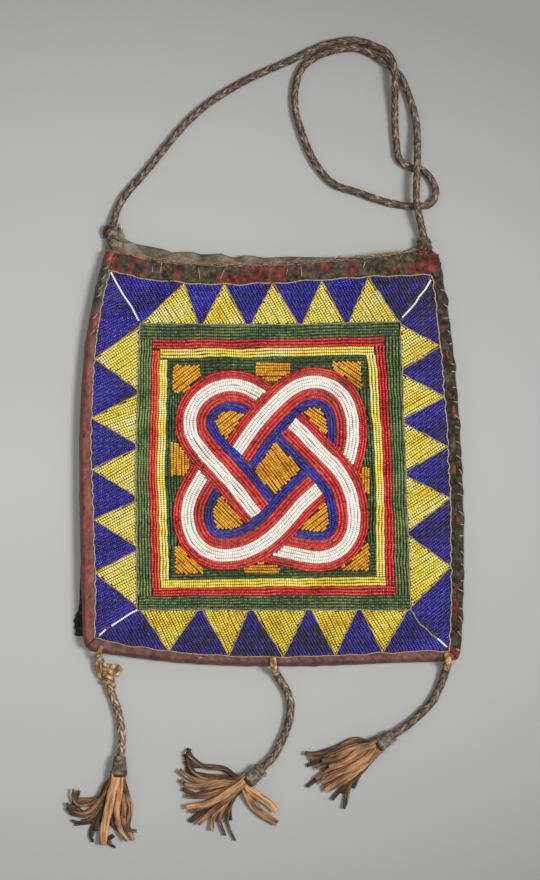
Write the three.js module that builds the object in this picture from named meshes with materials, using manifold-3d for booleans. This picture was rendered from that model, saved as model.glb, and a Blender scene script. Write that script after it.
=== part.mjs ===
// A diviner's flat beaded bag, lying on its back with its strap and tassels laid out.
// Millimetres, +Z up, beaded face up, mouth towards +Y, origin under the middle of the bag.
import * as THREE from 'three';
import { mergeVertices } from 'three/addons/utils/BufferGeometryUtils.js';
import loadManifold from 'manifold-3d';

const wasm = await loadManifold();
wasm.setup();

// Layers of the bag, from the table up
const BACK_THICKNESS = 2;
const POCKET_HEIGHT = 7.5;
const FRONT_THICKNESS = 2;
const BEAD_HEIGHT = 1.8;
const BEAD_VALLEY = 1.1;
const BINDING_THICKNESS = 1.2;
const SHOULDER_WIDTH = 4.5;
const MOUTH_HEM = 7;
const FIT_GAP = 0.3;

// Bead rows; a ridge of a field stands for a pair of rows
const ROW_PITCH = 2.05;
const FIELD_RIDGE = 2 * ROW_PITCH;
const COUCHED_CORD = 1;
const LACE_WIDTH = 1.2;
const LACE_HEIGHT = 1;
const VALLEY_GAP = 3.5;

// How finely curved edges are stepped
const SIDE_STEPS = 10;
const SHOULDER_STEPS = 4;
const HOOK_STEPS = 18;

const FRONT_UNDERSIDE = BACK_THICKNESS + POCKET_HEIGHT;
const FRONT_TOP = FRONT_UNDERSIDE + FRONT_THICKNESS;
const BINDING_UNDERSIDE = FRONT_TOP + FIT_GAP;
const BINDING_TOP = BINDING_UNDERSIDE + BINDING_THICKNESS;
const CLEAR_HEIGHT = FRONT_TOP + 2 * BEAD_HEIGHT;

const LEFTWARD = new THREE.Vector2(-1, 0);
const RIGHTWARD = new THREE.Vector2(1, 0);
const MOUTHWARD = new THREE.Vector2(0, 1);
const FOOTWARD = new THREE.Vector2(0, -1);

const at = (x, y) => new THREE.Vector2(x, y);

// Corners of the bag, of its beaded face and of the mouth, seen from the front
const BAG = {
  topLeft: at(-125, 149.5),
  topRight: at(125.5, 146),
  footRight: at(141.4, -159.4),
  footLeft: at(-141.8, -150.4),
};
const BEADED = {
  topLeft: at(-121.5, 133.9),
  topRight: at(120, 130.5),
  footRight: at(133.1, -150.8),
  footLeft: at(-132.8, -141.4),
};
const MOUTH = { left: at(-117, 147), right: at(117, 148) };

// An edge runs straight from one corner to the next, bowed outward by bow, most of all at peak
const bagLeft = { from: BAG.footLeft, to: BAG.topLeft, outward: LEFTWARD, bow: 12.6, peak: 0.65 };
const bagRight = { from: BAG.footRight, to: BAG.topRight, outward: RIGHTWARD, bow: 8.73, peak: 0.46 };
const bagFoot = { from: BAG.footLeft, to: BAG.footRight, outward: FOOTWARD, bow: 8.8, peak: 0.4 };
const mouthEdge = { from: MOUTH.left, to: MOUTH.right, outward: MOUTHWARD, bow: -9, peak: 0.4 };
const beadedLeft = { from: BEADED.footLeft, to: BEADED.topLeft, outward: LEFTWARD, bow: 9.5, peak: 0.66 };
const beadedRight = { from: BEADED.footRight, to: BEADED.topRight, outward: RIGHTWARD, bow: 5.9, peak: 0.5 };
const beadedFoot = { from: BEADED.footLeft, to: BEADED.footRight, outward: FOOTWARD, bow: 9.8, peak: 0.4 };
const beadedTop = { from: BEADED.topLeft, to: BEADED.topRight, outward: MOUTHWARD, bow: -9, peak: 0.33 };

// The leather back stands above the mouth, with an ear at each end that carries the strap
const BACK_EAR_LEFT = [at(-125, 157), at(-120, 163.27), at(-112, 161)];
const BACK_EAR_RIGHT = [at(112, 156), at(120, 158), at(125.8, 150)];
const backTop = { from: BACK_EAR_LEFT[2], to: BACK_EAR_RIGHT[0], outward: MOUTHWARD, bow: -13.5, peak: 0.5 };

// Bead frames round the knot, outer corners and inner corners, with the bow of each side
const FRAME_SIDES = [MOUTHWARD, RIGHTWARD, FOOTWARD, LEFTWARD];
const FRAME_OUTER = [at(-99.2, 93.1), at(96.2, 96.2), at(104.1, -120.4), at(-101, -120.2)];
const FRAME_INNER = [at(-74.3, 63.4), at(66, 66.4), at(73.1, -90.8), at(-72.4, -93.4)];
const FRAME_OUTER_BOW = [-1.5, 0, 0, 2.6];
const FRAME_INNER_BOW = [0, 3.7, 0, 2.8];
const GREEN_ROWS = 5;
const RED_ROWS = 3;
const YELLOW_ROWS = 3;
const INNER_GREEN_ROWS = 2;
const FRAME_ROWS = GREEN_ROWS + RED_ROWS + YELLOW_ROWS + INNER_GREEN_ROWS;
const GROUND_ROWS = 4;

// Yellow triangles: where each apex meets the edge and where neighbours meet at the frame
const TOP_TEETH = {
  apexes: [-65.7, -35.7, 0.8, 37.3, 72],
  bounds: [-94.7, -53.9, -17.9, 21, 55.7, 94.5],
};
const RIGHT_TEETH = {
  apexes: [-87.6, -36.4, 1.9, 39.4, 77.3],
  bounds: [-115.9, -63, -17.9, 21.4, 58.1, 93.4],
};
const FOOT_TEETH = {
  apexes: [-77.5, -32.3, 8.3, 47.3, 82.9],
  bounds: [-97.5, -54, -16, 27.5, 65.3, 100.5],
};
const LEFT_TEETH = {
  apexes: [-92.2, -52.1, -14.6, 23.6, 67.9],
  bounds: [-114.4, -74.1, -36.8, 2.3, 43.1, 91.9],
};
const STEEP_ROWS = THREE.MathUtils.degToRad(-60);
const LEFT_ROWS = THREE.MathUtils.degToRad(23);
const RIGHT_ROWS = THREE.MathUtils.degToRad(30);

// The knot: two long links through each other, laid as four hooks. Each line follows the middle of a hook's
// white stripe, from under its neighbour, along its short leg, round its lobe and down its long leg.
const HOOKS = {
  top_left: [
    [2, 35.6], [-8.7, 40.9], [-19.5, 46.5], [-30.8, 48.4], [-44.2, 45.4], [-55.9, 36.4], [-61.5, 24.4],
    [-60.8, 13.1], [-54, 0.8], [-39.3, -15.4], [-26.4, -30.4], [-10, -51], [-2.6, -60.4],
  ],
  top_right: [
    [53.2, -22.4], [56.6, -9.4], [59.4, 1.1], [60.5, 13.9], [58.9, 28.1], [52.5, 41.2], [42.8, 48.4],
    [32.2, 50.6], [21.8, 49], [12, 43.5], [2.2, 34.7], [-12.8, 18.1], [-27.4, -2.8], [-34.5, -12.4],
  ],
  foot_right: [
    [-8.2, -73.1], [5, -75.7], [17.2, -78.2], [30, -80.5], [42.8, -79.5], [53.6, -73.1], [59.7, -63.4],
    [61.5, -50.6], [60, -38.6], [54.8, -23.6], [48, -13.9], [35.2, -0.4], [21, 14.2], [13.5, 21.4], [5.2, 29.6],
  ],
  foot_left: [
    [-46.6, -8.6], [-52.9, -20.7], [-58.1, -29.6], [-62, -38.6], [-63.6, -49.1], [-62, -59.6], [-57, -69.4],
    [-49.5, -76], [-40.5, -79], [-30.8, -79], [-21, -76.9], [-10.5, -72.2], [0.8, -64.1], [10.5, -54.4],
    [21, -42.1], [35.1, -28.9], [43.9, -20.6],
  ],
};
const CORNERS = ['top_left', 'top_right', 'foot_right', 'foot_left'];

// Stripes of a hook, as distances outward from the middle of the white one
const KNOT_STRIPES = [
  { name: 'outer_red', inner: 4.85, outer: 11, rows: 3, colour: 'red' },
  { name: 'white', inner: -4.85, outer: 4.85, rows: 4, colour: 'white' },
  { name: 'inner_red', inner: -12.5, outer: -4.85, rows: 3, colour: 'red' },
  { name: 'blue', inner: -19.1, outer: -12.5, rows: 3, colour: 'blue' },
];
const KNOT_OUTER = KNOT_STRIPES[0].outer;
const KNOT_INNER = KNOT_STRIPES.at(-1).inner;
// The stretch of a hook, from its lobe along its long leg, that lies over both of its neighbours
const COVER_FROM = 0.3;
const COVER_TO = 0.84;

// Orange fields outside the knot
const CORNER_FIELD = 21;
const MIDDLE_FIELDS = [
  { from: -12, to: 13.5 },
  { from: -34, to: -13 },
  { from: -21.8, to: 6 },
  { from: -20, to: 5.5 },
];
const FIELD_DEPTH = 14;
const ORANGE_CORNER_ROWS = [38, -35, 38, -44].map(THREE.MathUtils.degToRad);
const ORANGE_CENTRE_ROWS = THREE.MathUtils.degToRad(-55);

// Strap and tassels
const STRAP_DIAMETER = 6;
const TASSEL_CORD_DIAMETER = 6;
const CORD_SIDES = 8;
const STRAP_STEPS = 56;
const TASSEL_CORD_STEPS = 7;
const COLLAR_LENGTH = 10.5;
const COLLAR_CORD_RADIUS = 4.8;
const COLLAR_FRINGE_RADIUS = 6;
const COLLAR_SIDES = 12;
const ROOT_LENGTH = 5;
const ROOT_RADIUS = 5.2;
const STRIP_THICKNESS = 1.4;
const STRIP_STEPS = 4;
const STRIP_LEAD = 1 / 6;
const TAB_HEIGHT = 7;
const TAB_TAPER = 2;
const THONG_DIAMETER = 3.2;

const STRAP_ROUTE = [
  [-120.9, 163.7, 5.6], [-115.5, 182.6, 3.2], [-93.8, 210.4, 3.1], [-50.3, 258.4, 3.1], [-24.8, 274.9, 3.1],
  [13.5, 292.5, 3.1], [45, 306, 3.1], [63, 307.9, 3.1], [76.5, 303.8, 3.8], [87, 297.4, 7.2],
  [91.5, 287.6, 9.8], [92.3, 272.6, 8.4], [92.3, 253.1, 4.2], [93.4, 232.1, 3.1], [96.4, 217.5, 3.1],
  [103.5, 212.3, 3.1], [113.3, 210, 3.1], [120.8, 201.4, 3.1], [123.2, 192.4, 3.1], [118.5, 184.5, 3.1],
  [108.8, 183, 3.1], [88.5, 185.6, 3.1], [64.5, 193.5, 3.1], [45.8, 200.3, 3.1], [33, 214.9, 3.1],
  [22.5, 238.1, 3.1], [17.1, 259.1, 3.1], [18, 273.4, 3.1], [24, 286.9, 3.1], [34.5, 294, 3.1],
  [48.8, 299.3, 3.1], [63, 300.9, 3.1], [74.3, 297.4, 3.1], [84.8, 291, 3.1], [95.3, 282.4, 3.1],
  [102.8, 266.6, 3.2], [108, 247.9, 5], [109, 217.1, 9.7], [108.6, 184.9, 9.9], [114.4, 158.8, 6],
];

const TASSELS = [
  {
    name: 'left', collar: at(-114.8, -238.5), heading: -92,
    route: [[-131, -153.9, 4.5], [-126.5, -166, 3.6], [-122.6, -178.5, 3.1], [-118.3, -189.5, 3.1],
      [-114.4, -203, 3.2], [-112.8, -217, 4.5], [-114, -232.9, 6.2]],
    strips: [
      { root: 0.9, tip: at(-149, -255), bow: -17, width: 2.6 },
      { root: 0.7, tip: at(-155, -266), bow: -12, width: 3 },
      { root: 0.5, tip: at(-151, -279), bow: -6, width: 3 },
      { root: 0.3, tip: at(-135, -295), bow: -7, width: 3 },
      { root: 0.1, tip: at(-127, -297), bow: -1, width: 6.5 },
      { root: -0.3, tip: at(-109, -294), bow: -5, width: 4.5 },
      { root: -0.6, tip: at(-104, -290), bow: 2, width: 4 },
      { root: -0.9, tip: at(-102, -286), bow: 6, width: 4 },
    ],
  },
  {
    name: 'middle', collar: at(-13.6, -245), heading: 222,
    route: [[2, -164.9, 5], [4, -169.6, 3.8], [8.4, -176.9, 3.1], [12.8, -185.9, 3.1], [13.9, -196, 3.1],
      [12, -207.2, 3.1], [6.8, -220.4, 3.1], [1.1, -230.9, 4.2], [-9.4, -241.2, 6.2]],
    strips: [
      { root: -0.9, tip: at(-63, -228), bow: -9, width: 2.4 },
      { root: -0.7, tip: at(-70, -242), bow: -6, width: 4.5 },
      { root: -0.5, tip: at(-68, -255), bow: -4, width: 4 },
      { root: -0.2, tip: at(-64, -268), bow: -2, width: 4.5 },
      { root: 0, tip: at(-55, -281), bow: 0, width: 4.5 },
      { root: 0.2, tip: at(-46, -286), bow: -2, width: 3.6 },
      { root: 0.4, tip: at(-36, -290), bow: -5, width: 3 },
      { root: 0.5, tip: at(-28, -294), bow: -8, width: 2.4 },
      { root: 0.8, tip: at(3, -281), bow: -4, width: 5 },
      { root: 0.95, tip: at(3, -273), bow: 1, width: 4.5 },
    ],
  },
  {
    name: 'right', collar: at(84.8, -218.6), heading: 213,
    route: [[132.1, -160.6, 5], [129.8, -168.8, 3.8], [125.6, -179.8, 3.1], [120, -190.2, 3.1],
      [111.8, -198.8, 3.1], [102.8, -206.6, 4.2], [89.5, -215.6, 6.2]],
    strips: [
      { root: -0.9, tip: at(25, -228), bow: -4, width: 5 },
      { root: -0.6, tip: at(27, -238), bow: -2, width: 4 },
      { root: -0.3, tip: at(33, -247), bow: -1, width: 4.5 },
      { root: 0, tip: at(28, -252), bow: 2, width: 4 },
      { root: 0.2, tip: at(40, -256), bow: 1, width: 5 },
      { root: 0.5, tip: at(46, -262), bow: 0, width: 4 },
      { root: 0.8, tip: at(54, -269), bow: -4, width: 3.6 },
      { root: 0.95, tip: at(57, -262), bow: -5, width: 3 },
    ],
  },
];
const THONG_ROUTE = [
  [-122.2, -167.2, 2], [-117.5, -164.6, 2], [-114.6, -165.8, 2], [-115, -168.6, 2], [-120.3, -173.2, 2],
];
const LEFT_TAB = { middle: at(-118.4, 156.4), width: 10, depth: 12 };
const RIGHT_TAB = { middle: at(117.5, 153.4), width: 10.5, depth: 8.4 };

const COLOURS = {
  back: 0x7a7068, cloth: 0x4a3a30,
  mouthFelt: 0x4a3330, leftLeather: 0x6e3e3a, rightFelt: 0x2f3a30, footLeather: 0x6e3e3a,
  blue: 0x2b2a9a, yellow: 0xe8d23c, green: 0x1f4a2c, red: 0xc8202a, white: 0xf4f1ea, orange: 0xd9951e,
  strap: 0x6a5648, tab: 0x5c5048, collar: 0x4a4a48, fringe: 0xa87e58,
};
const GLASS_ROUGHNESS = 0.3;
const LEATHER_ROUGHNESS = 0.75;
const GLASS_COLOURS = ['blue', 'yellow', 'green', 'red', 'white', 'orange'];

const bag = new THREE.Group();

/** Adds one closed solid to the bag as a named mesh. */
function add(name, geometry, colour) {
  const roughness = GLASS_COLOURS.includes(colour) ? GLASS_ROUGHNESS : LEATHER_ROUGHNESS;
  const material = new THREE.MeshStandardMaterial({ color: COLOURS[colour], roughness, metalness: 0 });
  const mesh = new THREE.Mesh(geometry, material);
  mesh.name = name;
  bag.add(mesh);
}

/** A three.js geometry as a manifold solid, with shared corners merged. */
function toSolid(geometry) {
  const bare = geometry.clone();
  bare.deleteAttribute('normal');
  bare.deleteAttribute('uv');
  const merged = mergeVertices(bare, 1e-4);
  const mesh = new wasm.Mesh({
    numProp: 3,
    vertProperties: new Float32Array(merged.attributes.position.array),
    triVerts: new Uint32Array(merged.index.array),
  });
  return new wasm.Manifold(mesh);
}

/** A manifold solid as a three.js geometry. */
function toGeometry(solid) {
  const mesh = solid.getMesh();
  const geometry = new THREE.BufferGeometry();
  geometry.setAttribute('position', new THREE.BufferAttribute(mesh.vertProperties, mesh.numProp));
  geometry.setIndex(new THREE.BufferAttribute(mesh.triVerts, 1));
  geometry.computeVertexNormals();
  return geometry;
}

/** An outline in plan raised from z = low to z = high. */
function prism(outline, low, high) {
  const shape = new THREE.Shape(outline);
  const geometry = new THREE.ExtrudeGeometry(shape, { depth: high - low, bevelEnabled: false });
  return geometry.translate(0, 0, low);
}

/** Signed volume of an indexed triangle list, positive when its faces point out. */
function signedVolume(points, triangles) {
  let volume = 0;
  for (const [a, b, c] of triangles) {
    volume += points[a].dot(points[b].clone().cross(points[c])) / 6;
  }
  return volume;
}

/** A closed body through equal loops of points: capped at both ends, or joined into a ring. */
function loft(loops, { ring = false, cap = [] } = {}) {
  const size = loops[0].length;
  const points = loops.flat();
  const triangles = [];
  const spans = ring ? loops.length : loops.length - 1;
  for (let i = 0; i < spans; i += 1) {
    for (let j = 0; j < size; j += 1) {
      const a = i * size + j;
      const b = i * size + ((j + 1) % size);
      const c = ((i + 1) % loops.length) * size + ((j + 1) % size);
      const d = ((i + 1) % loops.length) * size + j;
      triangles.push([a, b, c], [a, c, d]);
    }
  }
  const last = (loops.length - 1) * size;
  for (const [a, b, c] of ring ? [] : cap) {
    triangles.push([c, b, a], [last + a, last + b, last + c]);
  }
  const outward = signedVolume(points, triangles) > 0;
  const geometry = new THREE.BufferGeometry().setFromPoints(points);
  geometry.setIndex(triangles.flatMap(([a, b, c]) => (outward ? [a, b, c] : [a, c, b])));
  geometry.computeVertexNormals();
  return geometry;
}

/** Triangles that close a flat profile of (across, height) points, wound as the profile runs. */
function capOf(profile) {
  const outline = profile.map(([across, height]) => at(across, height));
  const triangles = THREE.ShapeUtils.triangulateShape(outline, []);
  const firstArea = THREE.ShapeUtils.area(triangles[0].map((index) => outline[index]));
  const wound = firstArea * THREE.ShapeUtils.area(outline) > 0;
  return wound ? triangles : triangles.map((triangle) => triangle.toReversed());
}

/** The point at share t along a bowed edge. */
function edgePoint({ from, to, outward, bow, peak }, t) {
  const before = Math.max(1, peak / (1 - peak));
  const after = Math.max(1, (1 - peak) / peak);
  const fullest = peak ** before * (1 - peak) ** after;
  const share = (t ** before * (1 - t) ** after) / fullest;
  return new THREE.Vector2().lerpVectors(from, to, t).addScaledVector(outward, bow * share);
}

/** The point of a bowed edge at one coordinate: x on the mouth and foot edges, y on the sides. */
function edgeAt(edge, coordinate) {
  const axis = edge.outward.x === 0 ? 'x' : 'y';
  return edgePoint(edge, (coordinate - edge.from[axis]) / (edge.to[axis] - edge.from[axis]));
}

const shares = (count) => Array.from({ length: count + 1 }, (_, i) => i / count);

/** Pairs of points across a side binding: along the beaded face's edge, then on to the mouth's corner. */
function sideStations(outerEdge, beadedEdge, mouthCorner) {
  const beadedShare = (beadedEdge.to.y - beadedEdge.from.y) / (mouthCorner.y - beadedEdge.from.y);
  const besideBeads = shares(SIDE_STEPS).map((t) => ({
    outer: edgePoint(outerEdge, t * beadedShare), inner: edgePoint(beadedEdge, t),
  }));
  return [...besideBeads, { outer: outerEdge.to.clone(), inner: mouthCorner.clone() }];
}

/** Stations between two bowed edges that run side by side. */
function edgeStations(outerEdge, innerEdge) {
  return shares(SIDE_STEPS).map((t) => ({ outer: edgePoint(outerEdge, t), inner: edgePoint(innerEdge, t) }));
}

const leftStations = sideStations(bagLeft, beadedLeft, MOUTH.left);
const rightStations = sideStations(bagRight, beadedRight, MOUTH.right);
const footStations = edgeStations(bagFoot, beadedFoot);
const mouthStations = edgeStations(mouthEdge, beadedTop);

/** Draws the first and last stations in by the fitting gap, so that bindings meet without touching. */
function trimEnds(stations) {
  const trimmed = stations.map(({ outer, inner }) => ({ outer: outer.clone(), inner: inner.clone() }));
  const draw = (end, next) => {
    for (const key of ['outer', 'inner']) {
      const step = end[key].distanceTo(next[key]);
      end[key].lerp(next[key], FIT_GAP / step);
    }
  };
  draw(trimmed[0], trimmed[1]);
  draw(trimmed.at(-1), trimmed.at(-2));
  return trimmed;
}

/** A strip lofted across its stations; profileAt gives (distance in from the outer edge, height) points. */
function binding(stations, profileAt) {
  const loops = trimEnds(stations).map(({ outer, inner }) => {
    const width = outer.distanceTo(inner);
    const inward = inner.clone().sub(outer).normalize();
    return profileAt(width).map(([across, height]) => {
      const point = outer.clone().addScaledVector(inward, across);
      return new THREE.Vector3(point.x, point.y, height);
    });
  });
  const nominalWidth = stations[0].outer.distanceTo(stations[0].inner);
  return loft(loops, { cap: capOf(profileAt(nominalWidth)) });
}

/** Side binding: stands on the back panel, rounds over a shoulder and lies on the front panel's edge. */
function shoulderProfile(width) {
  const rise = BINDING_TOP - BACK_THICKNESS;
  const angles = shares(SHOULDER_STEPS).map((t) => (t * Math.PI) / 2);
  const outside = angles.map((angle) => [
    SHOULDER_WIDTH * (1 - Math.cos(angle)),
    BACK_THICKNESS + rise * Math.sin(angle),
  ]);
  const inside = angles.map((angle) => [
    SHOULDER_WIDTH - (SHOULDER_WIDTH - BINDING_THICKNESS) * Math.cos(angle),
    BACK_THICKNESS + (rise - BINDING_THICKNESS) * Math.sin(angle),
  ]);
  const flange = width - FIT_GAP;
  return [...outside, [flange, BINDING_TOP], [flange, BINDING_UNDERSIDE], ...inside.reverse()];
}

/** Mouth binding: folded over the front panel's top edge, with a hem inside the pocket. */
function mouthProfile(width) {
  const hemTop = FRONT_UNDERSIDE - FIT_GAP;
  const hemUnderside = hemTop - BINDING_THICKNESS;
  const flange = width - FIT_GAP;
  return [
    [flange, BINDING_TOP], [BINDING_THICKNESS, BINDING_TOP], [0, FRONT_TOP], [0, FRONT_UNDERSIDE],
    [BINDING_THICKNESS, hemUnderside], [MOUTH_HEM, hemUnderside], [MOUTH_HEM, hemTop],
    [BINDING_THICKNESS, hemTop], [BINDING_THICKNESS, BINDING_UNDERSIDE], [flange, BINDING_UNDERSIDE],
  ];
}

/** Points set in from each station's outer edge. */
function setIn(stations, distance) {
  return stations.map(({ outer, inner }) => {
    const inward = inner.clone().sub(outer).normalize();
    return outer.clone().addScaledVector(inward, distance);
  });
}

function addPanelsAndBindings() {
  const outer = (stations) => stations.map((station) => station.outer);
  const backEdge = [
    ...outer(footStations), ...outer(rightStations).slice(1), ...BACK_EAR_RIGHT.toReversed(),
    ...shares(SIDE_STEPS).slice(1, -1).map((t) => edgePoint(backTop, 1 - t)),
    ...BACK_EAR_LEFT.toReversed(), ...outer(leftStations).toReversed().slice(0, -1),
  ];
  add('back_panel', prism(backEdge, 0, BACK_THICKNESS), 'back');
  const frontEdge = [
    ...setIn(footStations, SHOULDER_WIDTH), ...setIn(rightStations, SHOULDER_WIDTH).slice(1),
    ...setIn(mouthStations, BINDING_THICKNESS + FIT_GAP).toReversed(),
    ...setIn(leftStations, SHOULDER_WIDTH).toReversed().slice(0, -1),
  ];
  add('front_panel', prism(frontEdge, FRONT_UNDERSIDE, FRONT_TOP), 'cloth');
  add('left_binding', binding(leftStations, shoulderProfile), 'leftLeather');
  add('right_binding', binding(rightStations, shoulderProfile), 'rightFelt');
  add('foot_binding', binding(footStations, shoulderProfile), 'footLeather');
  add('mouth_binding', binding(mouthStations, mouthProfile), 'mouthFelt');
}

/** Bead rows in section: a ridge for each row between two distances, closed underneath. */
function rowProfile(from, to, rows) {
  const step = (to - from) / rows;
  const ridges = Array.from({ length: rows }, (_, row) => [
    [from + row * step, FRONT_TOP + BEAD_VALLEY],
    [from + (row + 0.5) * step, FRONT_TOP + BEAD_HEIGHT],
  ]).flat();
  return [[from, FRONT_TOP], ...ridges, [to, FRONT_TOP + BEAD_VALLEY], [to, FRONT_TOP]];
}

/** A point of the bead frames: side 0 is the top, t runs along it, depth counts rows inward. */
function framePoint(side, t, depth) {
  const share = depth / FRAME_ROWS;
  const corner = (index) => new THREE.Vector2().lerpVectors(FRAME_OUTER[index], FRAME_INNER[index], share);
  const bow = THREE.MathUtils.lerp(FRAME_OUTER_BOW[side], FRAME_INNER_BOW[side], share);
  const middle = corner(side).lerp(corner((side + 1) % 4), 0.5).addScaledVector(FRAME_SIDES[side], bow);
  return t <= 0.5
    ? corner(side).lerp(middle, t * 2)
    : middle.lerp(corner((side + 1) % 4), t * 2 - 1);
}

/** A mitred ring of bead rows between two depths. */
function frameRing(fromRow, toRow, ridges = toRow - fromRow) {
  const halfGap = FIT_GAP / ROW_PITCH / 2;
  const profile = rowProfile(fromRow + halfGap, toRow - halfGap, ridges);
  const loops = [0, 1, 2, 3].flatMap((side) => [0, 0.5].map((t) => profile.map(([depth, height]) => {
    const point = framePoint(side, t, depth);
    return new THREE.Vector3(point.x, point.y, height);
  })));
  return loft(loops, { ring: true });
}

/** A convex outline drawn in by the same distance on every side. */
function inset(outline, distance) {
  const area = THREE.ShapeUtils.area(outline);
  const corners = area > 0 ? outline : outline.toReversed();
  const lines = corners.map((corner, i) => {
    const along = corners[(i + 1) % corners.length].clone().sub(corner).normalize();
    const inward = at(-along.y, along.x);
    return { point: corner.clone().addScaledVector(inward, distance), along };
  });
  return lines.map((line, i) => {
    const before = lines.at(i - 1);
    const between = line.point.clone().sub(before.point);
    const reach = between.cross(line.along) / before.along.cross(line.along);
    return before.point.clone().addScaledVector(before.along, reach);
  });
}

/** A field of straight bead rows: a ridged sheet cut to an outline. */
function beadField(outline, rowAngle) {
  const middle = outline.reduce((sum, point) => sum.add(point), at(0, 0)).divideScalar(outline.length);
  const reach = Math.max(...outline.map((point) => point.distanceTo(middle))) + FIELD_RIDGE;
  const ridges = 2 * Math.ceil(reach / FIELD_RIDGE);
  const halfWidth = (ridges * FIELD_RIDGE) / 2;
  const section = rowProfile(-halfWidth, halfWidth, ridges);
  const shape = new THREE.Shape(section.map(([across, height]) => at(across, height - FRONT_TOP)));
  const sheet = new THREE.ExtrudeGeometry(shape, { depth: 2 * reach, bevelEnabled: false });
  const along = new THREE.Vector3(Math.cos(rowAngle), Math.sin(rowAngle), 0);
  const up = new THREE.Vector3(0, 0, 1);
  const placed = new THREE.Matrix4().makeBasis(up.clone().cross(along), up, along);
  const start = new THREE.Vector3(middle.x, middle.y, FRONT_TOP).addScaledVector(along, -reach);
  sheet.applyMatrix4(placed.setPosition(start));
  return toSolid(sheet).intersect(toSolid(prism(outline, FRONT_TOP, CLEAR_HEIGHT)));
}

const unite = (solids) => solids.reduce((whole, solid) => whole.add(solid));

/** The whole beaded face inside the bindings, as a block to trim the border with. */
function beadedBlock() {
  const inner = (stations) => stations.map((station) => station.inner);
  const outline = [
    ...inner(footStations), ...inner(rightStations).slice(1, -1),
    ...inner(mouthStations).toReversed().slice(1), ...inner(leftStations).toReversed().slice(2, -1),
  ];
  return toSolid(prism(outline, FRONT_TOP - BEAD_HEIGHT, CLEAR_HEIGHT));
}

/** A thin lace along a line of points, which joins the fields of one colour on a side. */
function lace(points, towards) {
  const near = points.map((point) => point.clone().addScaledVector(towards, COUCHED_CORD / 2));
  const far = points.map((point) => point.clone().addScaledVector(towards, LACE_WIDTH));
  return toSolid(prism([...near, ...far.reverse()], FRONT_TOP, FRONT_TOP + LACE_HEIGHT));
}

/** Yellow triangles and blue fields along one side of the beaded border. */
function addBorderSide(name, { edge, side, reverse, teeth, rows }) {
  const axis = edge.outward.x === 0 ? 'x' : 'y';
  const ends = reverse ? [1, 0] : [0, 1];
  const frameFrom = framePoint(side, ends[0], 0)[axis];
  const frameTo = framePoint(side, ends[1], 0)[axis];
  const onFrame = (coordinate) => {
    const share = (coordinate - frameFrom) / (frameTo - frameFrom);
    return framePoint(side, reverse ? 1 - share : share, 0);
  };
  const inward = edge.outward.clone().negate();
  const apexes = teeth.apexes.map((coordinate) => edgeAt(edge, coordinate));
  const bases = teeth.apexes.map((_, i) => [
    onFrame(teeth.bounds[i] + VALLEY_GAP / 2), onFrame(teeth.bounds[i + 1] - VALLEY_GAP / 2),
  ]);
  const pulledIn = (point) => point.clone().addScaledVector(inward, LACE_WIDTH);
  const pushedOut = (point) => point.clone().addScaledVector(edge.outward, LACE_WIDTH);

  const triangles = bases.map(([start, end], i) => [start, end, pulledIn(apexes[i])]);
  const baseMiddle = ([start, end]) => start.clone().lerp(end, 0.5);
  const starts = bases.slice(1).map(([start]) => start);
  const baseLine = [baseMiddle(bases[0]), ...starts, baseMiddle(bases.at(-1))];
  const middle = framePoint(side, 0.5, 0);
  const afterMiddle = baseLine.findIndex((point) => point[axis] > middle[axis]);
  const yellowLace = lace(baseLine.toSpliced(afterMiddle, 0, middle), edge.outward);
  const yellow = triangles.map((outline) => beadField(inset(outline, COUCHED_CORD / 2), rows));
  add(`yellow_triangles_${name}`, toGeometry(unite([...yellow, yellowLace])), 'yellow');

  const first = [edge.from, apexes[0], bases[0][0], framePoint(side, ends[0], 0)];
  const last = [apexes.at(-1), edge.to, framePoint(side, ends[1], 0), bases.at(-1)[1]];
  const between = apexes.slice(1).map((apex, i) => [
    apexes[i], apex, pushedOut(bases[i + 1][0]), pushedOut(bases[i][1]),
  ]);
  const blue = [first, ...between, last].map((outline) => beadField(inset(outline, COUCHED_CORD / 2), rows));
  const start = edgeAt(edge, teeth.apexes[0] - VALLEY_GAP);
  const end = edgeAt(edge, teeth.apexes.at(-1) + VALLEY_GAP);
  const whole = unite([...blue, lace([start, ...apexes, end], inward)]);
  add(`blue_border_${name}`, toGeometry(whole.intersect(beadedBlock())), 'blue');
}

/** Points along a hook and the way out from them, on the side away from the lobe's middle. */
function hookStations(route) {
  const line = new THREE.CatmullRomCurve3(route.map(([x, y]) => new THREE.Vector3(x, y, 0)));
  return shares(HOOK_STEPS).map((t) => {
    const point = line.getPointAt(t);
    const along = line.getTangentAt(t);
    return { point: at(point.x, point.y), outward: at(along.y, -along.x) };
  });
}

const HOOK_STATIONS = CORNERS.map((corner) => hookStations(HOOKS[corner]));
const hookAfter = (index) => (index + 1) % CORNERS.length;
const hookBefore = (index) => (index + CORNERS.length - 1) % CORNERS.length;

/** A line that keeps its distance from the middle of a hook's white stripe. */
const hookLine = (stations, distance) => (
  stations.map(({ point, outward }) => point.clone().addScaledVector(outward, distance))
);

/** A stretch of a hook's whole width, with some room round it, as a block to trim with. */
function hookBlock(index, from = 0, to = 1) {
  const stations = HOOK_STATIONS[index].slice(Math.round(from * HOOK_STEPS), Math.round(to * HOOK_STEPS) + 1);
  const outline = [
    ...hookLine(stations, KNOT_OUTER + FIT_GAP), ...hookLine(stations, KNOT_INNER - FIT_GAP).toReversed(),
  ];
  return toSolid(prism(outline, FRONT_TOP - BEAD_HEIGHT, CLEAR_HEIGHT));
}

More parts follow.
